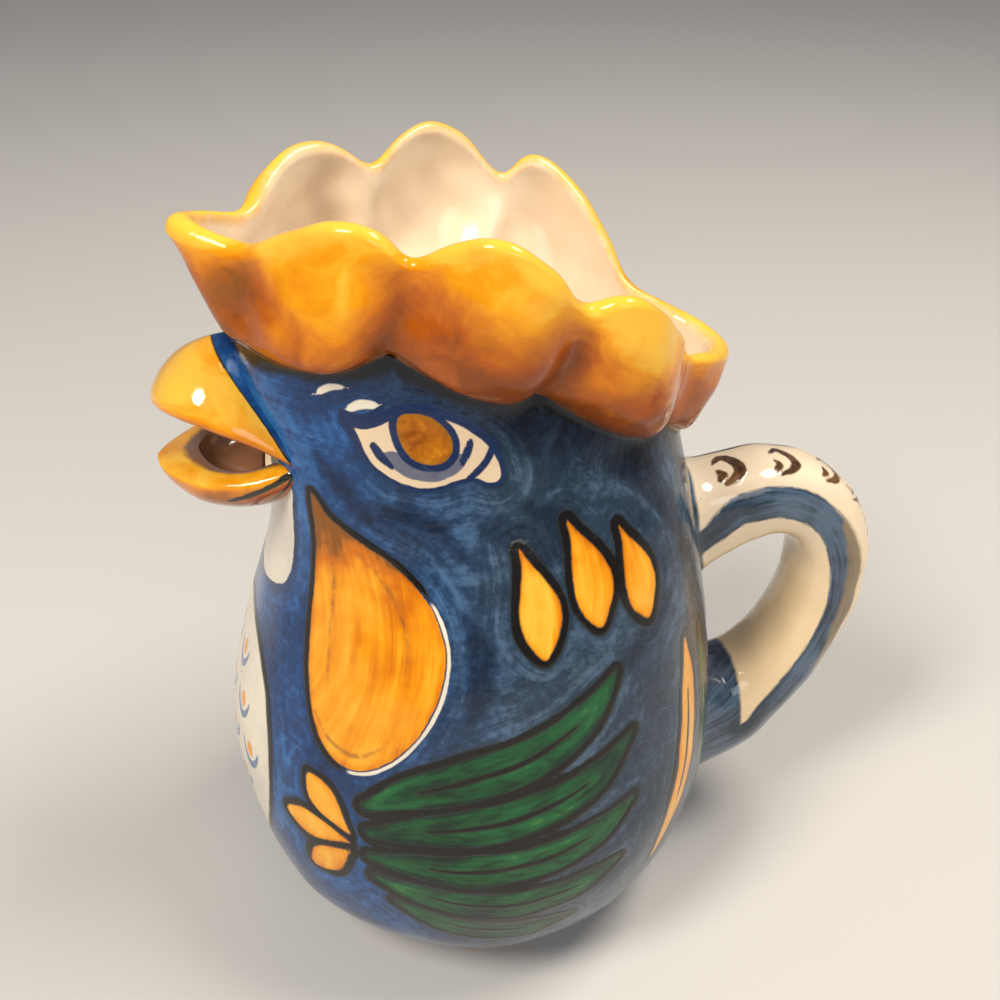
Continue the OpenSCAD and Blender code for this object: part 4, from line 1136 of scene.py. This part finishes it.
top_ring = np.stack([idw[R_BO, :-1], idw[R_BI, :-1], idw[R_BI, 1:], idw[R_BO, 1:]], -1)
hole = []
ho, hi_ = R_HOLE_OUT, R_HOLE_IN          # outer rows count up, inner rows count down
ci = np.arange(-HC_N, HC_N + 1) % COLS
for j in range(HR_N):
    hole.append([ids[ho + j, ci[0]], ids[hi_ + HR_N - j, ci[0]], ids[hi_ + HR_N - 1 - j, ci[0]], ids[ho + j + 1, ci[0]]])
    hole.append([ids[ho + j, ci[-1]], ids[ho + j + 1, ci[-1]], ids[hi_ + HR_N - 1 - j, ci[-1]], ids[hi_ + HR_N - j, ci[-1]]])
for a, b in zip(ci[:-1], ci[1:]):
    hole.append([ids[ho, a], ids[ho, b], ids[hi_ + HR_N, b], ids[hi_ + HR_N, a]])
    hole.append([ids[ho + HR_N, a], ids[hi_, a], ids[hi_, b], ids[ho + HR_N, b]])
hole = np.array(hole)
# faces of the hole look into the opening
pc = ALL_P[hole].mean(1)
fn = np.cross(ALL_P[hole][:, 2] - ALL_P[hole][:, 0], ALL_P[hole][:, 3] - ALL_P[hole][:, 1])
mid = pc.mean(0)
wrong = (fn*(mid - pc))[:, 1:].sum(1) < 0
hole[wrong] = hole[wrong][:, ::-1]

blocks = [
    block(0, R_SIDE, 0, COLS, (0.0, 0.0, 0.6, 0.05), 2),
    block(R_SIDE, R_BO, 0, COLS, (0.0, 0.06, 1.0, 0.62), 0),
    block(R_BI, NR - 1, 0, COLS, (0.0, 0.64, 1.0, 0.98), 1),
    (fan_low, True, tiny_uv(COLS, 3, (0.62, 0.0, 0.8, 0.02)), 2),
    (fan_in, True, tiny_uv(COLS, 3, (0.62, 0.03, 0.8, 0.05)), 1),
    (top_ring, False, tiny_uv(COLS, 4, (0.81, 0.0, 0.99, 0.02)), 1),
    (hole, False, tiny_uv(len(hole), 4, (0.81, 0.03, 0.99, 0.05)), 1),
]
d = compact(blocks, ALL_P, ALL_N, fields)
body = make_mesh("body_painted", mats=[MAT_BODY, MAT_IN, MAT_UNDER], **d)
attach(body, "root")
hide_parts("body_shell")

comb_fields = {k: fields[k] for k in ("prof", "hollow", "over", "below")}
for name, node, c0, c1 in (("comb_front_glazed", "comb_front", -LOBE//2, LOBE//2), ("comb_right_glazed", "comb_right", LOBE//2, 7*LOBE//2),
                           ("comb_rear_glazed", "comb_rear", 7*LOBE//2, 9*LOBE//2), ("comb_left_glazed", "comb_left", 9*LOBE//2, 15*LOBE//2)):
    n = c1 - c0
    cols = np.arange(c0, c1) % COLS
    base = np.stack([idw[R_BI, cols], idw[R_BO, cols], idw[R_BO, cols + 1], idw[R_BI, cols + 1]], -1)
    blk = [block(R_BO, R_BI, c0, c1, (0.02, 0.08, 0.98, 0.98), 0),
           (base, False, tiny_uv(n, 4, (0.02, 0.0, 0.5, 0.02)), 0)]
    for c, side in ((c0 % COLS, 0), (c1 % COLS, 1)):
        a, b, tri = R_BO, R_BI, []
        while b - a > 1:                      # a ladder across the wall, closed over the lip
            if (R_BI - b) < N_INN*(a - R_BO)/(N_OUT + N_LIP) or b - a == 2 and a - R_BO > R_BI - b:
                tri.append([ids[a, c], ids[b - 1, c], ids[b, c]])
                b -= 1
            else:
                tri.append([ids[a, c], ids[a + 1, c], ids[b, c]])
                a += 1
        tri = np.array(tri)
        if side:
            tri = tri[:, ::-1]
        blk.append((tri, False, tiny_uv(len(tri), 3, (0.52, 0.0 + 0.03*side, 0.98, 0.02 + 0.03*side)), 0))
    d = compact(blk, ALL_P, ALL_N, comb_fields)
    ob = make_mesh(name, mats=[MAT_COMB], **d)
    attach(ob, "root")
    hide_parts(node)


# ------------------------------------------------------------------ beak
def beak_grid(w, zc, h, T, e0, e1, r, s, a, gap):
    s, a = s[:, None], a[None, :]
    p = (1 - s**2.4)**(1/1.7)
    e = e0 + (e1 - e0)*s**0.7
    ca, sa = np.cos(a), np.maximum(np.sin(a), 0)
    sa = np.where(sa < 1e-9, 0, sa)
    y0 = w*ca*np.abs(ca)**(e0 - 1)
    z0 = zc + h*sa**e0
    x0 = wall_x(y0, z0, -1) - gap
    y = w*ca*np.maximum(np.abs(ca), 1e-4)**(e - 1)*p
    zl = zc + (T[2] - zc)*(1 - (1 - s)**2.2)
    zt = T[2] + (zc + h - T[2])*(1 - s**r)**(1/1.7)
    x = T[0] + (x0 - T[0])*(1 - s)
    z = zl + (zt - zl)*sa**e
    x, y, z = np.broadcast_arrays(x, y, z)
    return np.stack([x, y, z], -1)


def weld(P, quads_):
    key = np.round(P*2000).astype(np.int64)
    _, first, back = np.unique(key, axis=0, return_index=True, return_inverse=True)
    back = back.reshape(-1)
    tris, fours = [], []
    tsel, fsel = [], []
    for n, q in enumerate(back[quads_]):
        r = [q[i] for i in range(4) if q[i] != q[i - 1]]
        if len(set(r)) == 4:
            fours.append(q)
            fsel.append(n)
        elif len(set(r)) == 3 and len(r) == 3:
            tris.append(r)
            tsel.append((n, [i for i in range(4) if q[i] != q[i - 1]]))
    return first, np.array(fours), np.array(tris), np.array(fsel), tsel


def beak_piece(name, node, o, n, lower):
    NS, NA, NE = 64, 72, 7
    s = 1 - (1 - np.arange(NS + 1)/NS)**1.6
    s[0] = 0
    a = np.linspace(0, PI, NA + 1)
    O = beak_grid(*o, s, a, -0.5)
    I = beak_grid(*n, s, a, -0.5)
    e = np.linspace(0, 1, NE + 2)[1:-1]
    E1 = O[:, -1:, :] + (I[:, -1:, :] - O[:, -1:, :])*e[None, :, None]
    E0 = I[:, :1, :] + (O[:, :1, :] - I[:, :1, :])*e[None, :, None]
    P = np.concatenate([O, E1, I[:, ::-1], E0], 1)
    M = P.shape[1]
    # round the lips of the beak
    lips = np.zeros(M)
    k = np.arange(M)
    for c in (0, NA, NA + NE + 1, 2*NA + NE + 2):
        dist = np.minimum(np.abs(k - c), M - np.abs(k - c))
        lips = np.maximum(lips, np.clip(1 - dist/7, 0, 1))
    for _ in range(16):
        mid = (np.roll(P, 1, 1) + np.roll(P, -1, 1))/2
        P[1:] += 0.5*lips[None, :, None]*(mid - P)[1:]
    inner = np.concatenate([-np.ones(NA + 1)*3, np.linspace(-2, 2, NE), np.ones(NA + 1)*3, np.linspace(2, -2, NE)])
    idx = np.arange((NS + 1)*M).reshape(NS + 1, M)
    iw = np.concatenate([idx, idx[:, :1]], 1)
    q = grid(iw, turn=not lower).reshape(-1, 4)
    flat = P.reshape(-1, 3)
    # the root lies inside the wall of the head
    root = []
    for i in range(NA):
        a0, a1 = i, i + 1
        b0, b1 = NA + NE + 1 + NA - i, NA + NE + 1 + NA - i - 1
        root.append([idx[0, a0], idx[0, a1], idx[0, b1], idx[0, b0]])
    root = np.array(root)
    if lower:
        root = root[:, ::-1]
    allq = np.concatenate([q, root])
    first, fours, tris, fsel, tsel = weld(flat, allq)
    V = flat[first]
    N = normals_of(V, [fours] + ([tris] if len(tris) else []), len(V))
    sm = V + N*(lumps(V, 21 + lower, 12)*0.18)[:, None]
    V = np.minimum(np.maximum(sm, BOX_LO + 0.02), BOX_HI - 0.02)
    N = normals_of(V, [fours] + ([tris] if len(tris) else []), len(V))
    col, row = first % M, first // M
    # distance from the root along the beak, and how near the corner of the mouth
    run = np.concatenate([np.zeros((1, M)), np.cumsum(np.linalg.norm(np.diff(P, axis=0), axis=2), axis=0)])
    turn = np.concatenate([a, np.full(NE, PI), a[::-1], np.full(NE, 0.0)])
    up_ = np.abs(np.sin(turn))
    start = (5.6*up_**1.3 + 0.7) if lower else (2.5*up_**0.6 + 0.9)
    f = {"inner": inner[col], "root": run[row, col] - start[col], "corner": (0.5 if lower else 0.0) + (0.5 if lower else 1.0)*ease(up_[col], 0.75, 0.05),
         "blue": np.full(len(V), 0.0 if lower else 1.0), "below": np.clip(-N[:, 2], -0.5, 1)}
    # unit-square places
    uvg = np.stack(np.meshgrid(np.linspace(0.02, 0.98, M + 1), np.linspace(0.06, 0.98, NS + 1)), -1)
    A_, B_, C_, D_ = uvg[:-1, :-1], uvg[:-1, 1:], uvg[1:, 1:], uvg[1:, :-1]
    uvq = np.stack([A_, D_, C_, B_] if not lower else [A_, B_, C_, D_], 2).reshape(-1, 4, 2)
    uvr = tiny_uv(len(root), 4, (0.02, 0.0, 0.98, 0.04))
    uva = np.concatenate([uvq, uvr])
    blk = [(fours, True, uva[fsel], 0)]
    if len(tris):
        blk.append((tris, True, np.array([uva[i][j] for i, j in tsel]), 0))
    return V, N, f, blk


UPPER = ([17, 117, 20, (-58.6, 0, 125.5), 1.6, 1, 1.5], [13.5, 117, 14, (-53, 0, 124.5), 1.6, 1, 2.4])
LOWER = ([17, 116.5, -13.5, (-59, 0, 113.5), 1.2, 0.9, 2.2], [11.5, 116.5, -9.2, (-51.5, 0, 114.3), 1.1, 0.9, 2.4])
for name, node, (o, n), low in (("upper_beak_glazed", "upper_beak", UPPER, False), ("lower_beak_glazed", "lower_beak", LOWER, True)):
    V, N, f, blk = beak_piece(name, node, o, n, low)
    d = compact(blk, V, N, f)
    ob = make_mesh(name, mats=[MAT_BEAK], **d)
    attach(ob, "root")
    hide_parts(node)

# ------------------------------------------------------------------ handle
H_PATH = [[49, 87.3], [56, 89.3], [64, 90.2], [71.5, 88.4], [77, 83.8], [80.3, 77], [81, 69], [79.8, 60.5], [76, 51.5],
          [69.5, 42], [62.5, 35.5], [55.5, 32.5]]
H_THICK = [23, 19.5, 18, 17.5, 17.2, 17, 17, 17, 17.3, 18.5, 22.5, 30]
H_HALF = [10.3, 9.8, 9.6, 9.5, 9.5, 9.5, 9.5, 9.6, 9.8, 10.3, 11.3, 13]
HK = list(range(12))
HC = 96
sgn = lambda v, e: np.sign(v)*np.abs(v)**e


def h_ring(s, ang, fat=1.0):
    """point of the handle at path place s and angle ang; arrays"""
    s, ang = np.broadcast_arrays(np.asarray(s, float), np.asarray(ang, float))
    s = np.clip(s, 0.03, 10.97)
    p = spl(s, HK, H_PATH)
    t, w = spl(s, HK, H_THICK)/2*fat, spl(s, HK, H_HALF)*fat
    dd = spl(s + 0.02, HK, H_PATH) - spl(s - 0.02, HK, H_PATH)
    m = np.stack([-dd[..., 1], dd[..., 0]], -1) / np.linalg.norm(dd, axis=-1, keepdims=True)
    n = t*sgn(np.sin(ang), 0.8)
    return np.stack([p[..., 0] + m[..., 0]*n, w*sgn(np.cos(ang), 0.8), p[..., 1] + m[..., 1]*n], -1)


def h_foot(w, h, z, f, ang, sink=0.45):
    y = f*w*sgn(np.cos(ang), 0.8)
    v = z + f*h*sgn(np.sin(ang), 0.8)
    return np.stack([wall_x(y, v, 1) - sink, y, v], -1)


ang = np.arange(HC)*2*PI/HC
hr, hs = [], []
for f in (0.3, 0.7, 1.0):
    hr.append(h_foot(11, 13, 86.5, f*1.13, ang, 1.2 if f < 1 else 0.45))
    hs.append(-0.6)
Wa, Wb = h_foot(11, 13, 86.5, 1.13, ang), h_foot(11, 13, 86.5, 0.93, ang)
Ra = h_ring(0.42, ang)
dR = (h_ring(0.44, ang) - h_ring(0.40, ang))/0.04
for t in np.linspace(0, 1, 15)[1:-1]:
    hr.append(bez(Wa, Wa + (Wb - Wa)*0.9, Ra - dR*0.32, Ra, t))
    hs.append(-0.4 + 0.8*t)
for s in np.linspace(0.42, 10.15, 170):
    hr.append(h_ring(s, ang))
    hs.append(s)
Rb = h_ring(10.15, ang)
dR = (h_ring(10.17, ang) - h_ring(10.13, ang))/0.04
Wa, Wb = h_foot(14, -17, 31.5, 1.1, ang), h_foot(14, -17, 31.5, 0.93, ang)
for t in np.linspace(0, 1, 18)[1:-1]:
    hr.append(bez(Rb, Rb + dR*0.42, Wa + (Wb - Wa)*0.9, Wa, t))
    hs.append(10.15 + 0.85*t)
for f in (1.0, 0.7, 0.3):
    hr.append(h_foot(14, -17, 31.5, f*1.1, ang, 1.2 if f < 1 else 0.45))
    hs.append(11.2)
H = np.array(hr)
HS = np.array(hs)
NH = len(H)
hid = np.arange(NH*HC).reshape(NH, HC)
hw = np.concatenate([hid, hid[:, :1]], 1)
hq = grid(hw, turn=True).reshape(-1, 4)
HP = np.concatenate([H.reshape(-1, 3), [H[0].mean(0)], [H[-1].mean(0)]])
c0, c1 = NH*HC, NH*HC + 1
f0 = np.stack([np.full(HC, c0), hw[0, :-1], hw[0, 1:]], -1)
f1 = np.stack([np.full(HC, c1), hw[-1, 1:], hw[-1, :-1]], -1)
p = HP[hq[len(hq)//2]]
out = p.mean(0) - HP[hid[NH//2]].mean(0)
if (np.cross(p[2] - p[0], p[3] - p[1])*out).sum() < 0:
    hq, f0, f1 = hq[:, ::-1], f0[:, ::-1], f1[:, ::-1]
HN_ = normals_of(HP, [hq, f0, f1], len(HP))
free = np.ones(len(HP))
free[:NH*HC] = np.repeat(ease(HS, -0.3, 0.6)*ease(HS, 11.0, 10.0), HC)
HP = HP + HN_*(free*(lumps(HP, 31, 26)*0.3 + lumps(HP, 33, 10)*0.12))[:, None]
HP = np.minimum(np.maximum(HP, BOX_LO + 0.02), BOX_HI - 0.02)
HN_ = normals_of(HP, [hq, f0, f1], len(HP))
h_ang = np.concatenate([np.tile(np.degrees(ang), NH), [0, 0]])
h_s = np.concatenate([np.repeat(HS, HC), [HS[0], HS[-1]]])


def h_paint(x, y):
    """the smooth loop, run on straight past its ends"""
    y = np.asarray(y, float)
    k = np.clip(y, 0.03, 10.97)
    way = np.where(y[..., None] < 5, h_ring(0.2, 0) - h_ring(0.1, 0), h_ring(10.9, 0) - h_ring(10.8, 0))
    return h_ring(k, np.radians(x)) + way*((y - k)*10)[..., None]


hc_ = Canvas(np.stack([h_ang, h_s], -1), h_paint, h_paint(h_ang, h_s), 360)
# angle 0 is the bird's right flank, 90 the outer side, 180 its left flank, 270 the side facing the body
for A_ in (lambda a: a, lambda a: 180 - a):
    hc_.shape("band", [(A_(a), k) for a, k in
                       [(184, -0.6), (172, 0.03), (164, 0.2), (158, 0.4), (151, 0.7), (147, 1), (145, 1.6), (149, 2.4), (155, 2.9), (160, 3.3), (164, 4.3), (161, 5.2),
                        (158, 6.2), (155, 7), (150, 7.9), (138, 8.6), (122, 9.4), (112, 10.2), (106, 11.4),
                        (178, 11.4), (178, 10.3), (182, 9.6), (186, 8.7), (188, 7.7), (192, 6.5), (196, 5.6), (198, 5), (197, 4.2), (193, 2.9), (184, 1.9), (181, 1), (190, 0.1), (200, -0.6)]],
              smooth=False)
# brown C-shaped dabs over the top, smaller towards the bend
for k, w, z_ in ((0.95, 2.3, 1.0), (2.15, 1.9, 0.85), (3.15, 1.5, 0.7), (3.95, 1.1, 0.5)):
    C_ = [(128, k - 0.16*z_), (121, k + 0.12*z_), (109, k + 0.30*z_), (96, k + 0.26*z_), (87, k + 0.02*z_), (92, k - 0.24*z_)]
    hc_.stroke("brown", C_, [0.5*w, w*0.9, w*1.25, w*1.2, w, 0.4*w])
    hc_.stroke("brown", [(121, k - 0.26*z_), (112, k - 0.14*z_), (104, k - 0.2*z_)], [0.6*w, 0.95*w, 0.5*w])
hc_.seam("line", [(66, 0.2), (64, 0.8), (63, 1.5), (66, 2.2), (70, 2.8)], [0.8, 2.0, 2.0, 1.4, 0.4])
hc_.seam("line", [(60, 3.4), (58, 4.6), (57, 6), (58, 7.2)], [0.3, 1.0, 0.9, 0.3])
# dotted ridge down the outer edge, and a brown wash on the outer face
for i in range(15):
    k = 3.3 + 0.36*i
    a = 104 + 30*(1 - math.exp(-(k - 3.3)/0.9))
    hc_.stroke("yellow", [(a - 2, k), (a + 1, k + 0.16)], [1.0, 1.3])
for A_ in (lambda a: a, lambda a: 180 - a):
    hc_.shape("umber", [(A_(a), k) for a, k in [(160, 3.8), (161, 4.3), (158, 5.2), (155, 6.2), (152, 7), (146, 7.9), (138, 8.5), (156, 8.3), (170, 7.5), (177, 6.7),
                        (178, 5.7), (177, 4.8), (173, 4.1)]],
              smooth=False)
# how far it stands off the wall at its two ends
hc_.layers["foot"] = np.where(h_s < 1, HP[:, 0] - wall_x(np.clip(HP[:, 1], -25, 25), HP[:, 2], 1) - 1.0,
                              np.where(h_s > 8.2, HP[:, 0] - 60.4, 60.0))
hf = {k: hc_.layer(k) for k in HANDLE_FIELDS}
uvh = chart_uv(0, NH - 1, 0, HC, (0.02, 0.06, 0.98, 0.98)).reshape(-1, 4, 2)
blk = [(hq, True, uvh, 0), (f0, True, tiny_uv(HC, 3, (0.02, 0.0, 0.48, 0.04)), 0), (f1, True, tiny_uv(HC, 3, (0.52, 0.0, 0.98, 0.04)), 0)]
d = compact(blk, HP, HN_, hf)
ob = make_mesh("handle_painted", mats=[MAT_HANDLE], **d)
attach(ob, "root")
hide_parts("handle")

# ------------------------------------------------------------------ foot ring
prof_f = [(24.0, 3.0), (24.0, 1.2), (24.15, 0.7), (24.5, 0.28), (25.1, 0.0), (27.5, 0.0), (29.8, 0.0), (30.6, 0.16), (31.1, 0.55),
          (31.35, 1.2), (31.45, 2.0), (31.5, 3.0)]
prof_f = np.array(prof_f)
seg = []
for a_, b_ in zip(prof_f[:-1], prof_f[1:]):
    k = max(1, int(np.linalg.norm(b_ - a_)/0.6))
    seg += [a_ + (b_ - a_)*i/k for i in range(k)]
seg = np.array(seg + [prof_f[-1]])
FC = 288
fa = np.arange(FC)*2*PI/FC
FR = np.stack([seg[:, None, 0]*np.cos(fa), seg[:, None, 0]*np.sin(fa), np.repeat(seg[:, 1:2], FC, 1)], -1)
rad = FR[..., :2]/np.linalg.norm(FR[..., :2], axis=-1, keepdims=True)
low_edge = ease(seg[:, 1], 0.0, 0.5)*ease(seg[:, 1], 3.0, 2.2)
FR[..., :2] += rad*(lumps(FR, 41, 9)*low_edge[:, None]*0.12)[..., None]
fid = np.arange(FR.shape[0]*FC).reshape(-1, FC)
fw = np.concatenate([fid, fid[:, :1]], 1)
fq = grid(fw, turn=False).reshape(-1, 4)
topq = np.stack([fw[0, :-1], fw[-1, :-1], fw[-1, 1:], fw[0, 1:]], -1)
FP = FR.reshape(-1, 3)
FP = np.minimum(np.maximum(FP, BOX_LO), BOX_HI)
pm = FP[fq[FC*3]]
probe = np.cross(pm[2] - pm[0], pm[3] - pm[1])
cen = pm.mean(0)
if probe[0]*cen[0] + probe[1]*cen[1] > 0:
    fq = fq[:, ::-1]
pt = FP[topq[0]]
if np.cross(pt[2] - pt[0], pt[3] - pt[1])[2] < 0:
    topq = topq[:, ::-1]
FN = normals_of(FP, [fq], len(FP))
uvf = chart_uv(0, len(seg) - 1, 0, FC, (0.02, 0.1, 0.98, 0.98)).reshape(-1, 4, 2)
d = compact([(fq, True, uvf, 0), (topq, False, tiny_uv(FC, 4, (0.02, 0.0, 0.98, 0.05)), 0)], FP, FN, {})
ob = make_mesh("foot_ring_clay", mats=[MAT_CLAY], **d)
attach(ob, "root")
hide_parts("foot_ring")

# ------------------------------------------------------------------ floor, light and camera
fl = bpy.data.meshes.new("floor")
fl.from_pydata([(-4, -4, 0), (4, -4, 0), (4, 4, 0), (-4, 4, 0)], [], [(0, 1, 2, 3)])
floor = bpy.data.objects.new("floor", fl)
bpy.context.scene.collection.objects.link(floor)
fm = bpy.data.materials.new("pale_floor")
fm.use_nodes = True
fb = fm.node_tree.nodes["Principled BSDF"]
fb.inputs["Base Color"].default_value = (0.62, 0.60, 0.57, 1)
fb.inputs["Roughness"].default_value = 0.75
fb.inputs["Specular IOR Level"].default_value = 0.2
fl.materials.append(fm)

sc = bpy.context.scene
w = bpy.data.worlds.new("studio")
w.use_nodes = True
w.node_tree.nodes["Background"].inputs[0].default_value = (0.88, 0.90, 0.96, 1)
w.node_tree.nodes["Background"].inputs[1].default_value = 0.25
sc.world = w
sc.view_settings.view_transform = "Standard"


def lamp(name, at, size, power, colour, aim=(0.0, 0.0, 0.09)):
    la = bpy.data.lights.new(name, "AREA")
    la.shape = "ELLIPSE"
    la.size, la.size_y = size
    la.energy = power
    la.color = colour
    o = bpy.data.objects.new(name, la)
    o.location = at
    o.rotation_euler = (Vector(aim) - Vector(at)).to_track_quat("-Z", "Y").to_euler()
    sc.collection.objects.link(o)


lamp("key", (-0.54, -0.37, 0.88), (0.30, 0.42), 8.0, (1.0, 0.94, 0.84))
lamp("top", (0.42, -0.06, 0.92), (0.5, 0.3), 6.6, (1.0, 0.93, 0.83))
lamp("fill", (0.12, -1.0, 0.62), (0.8, 0.5), 2.6, (0.97, 0.97, 1.0))

cam = bpy.data.cameras.new("camera")
cam.sensor_width = 36
cam.lens = 43.2
cam.clip_start = 0.01
co = bpy.data.objects.new("camera", cam)
az, el, dist = math.radians(-12.1), math.radians(32.0), 0.2449
back = Vector((math.sin(az)*math.cos(el), -math.cos(az)*math.cos(el), math.sin(el)))
co.location = Vector((0.0062, 0, 0.095)) + back*dist
co.rotation_euler = (-back).to_track_quat("-Z", "Y").to_euler()
sc.collection.objects.link(co)
sc.camera = co

bpy.context.view_layer.update()
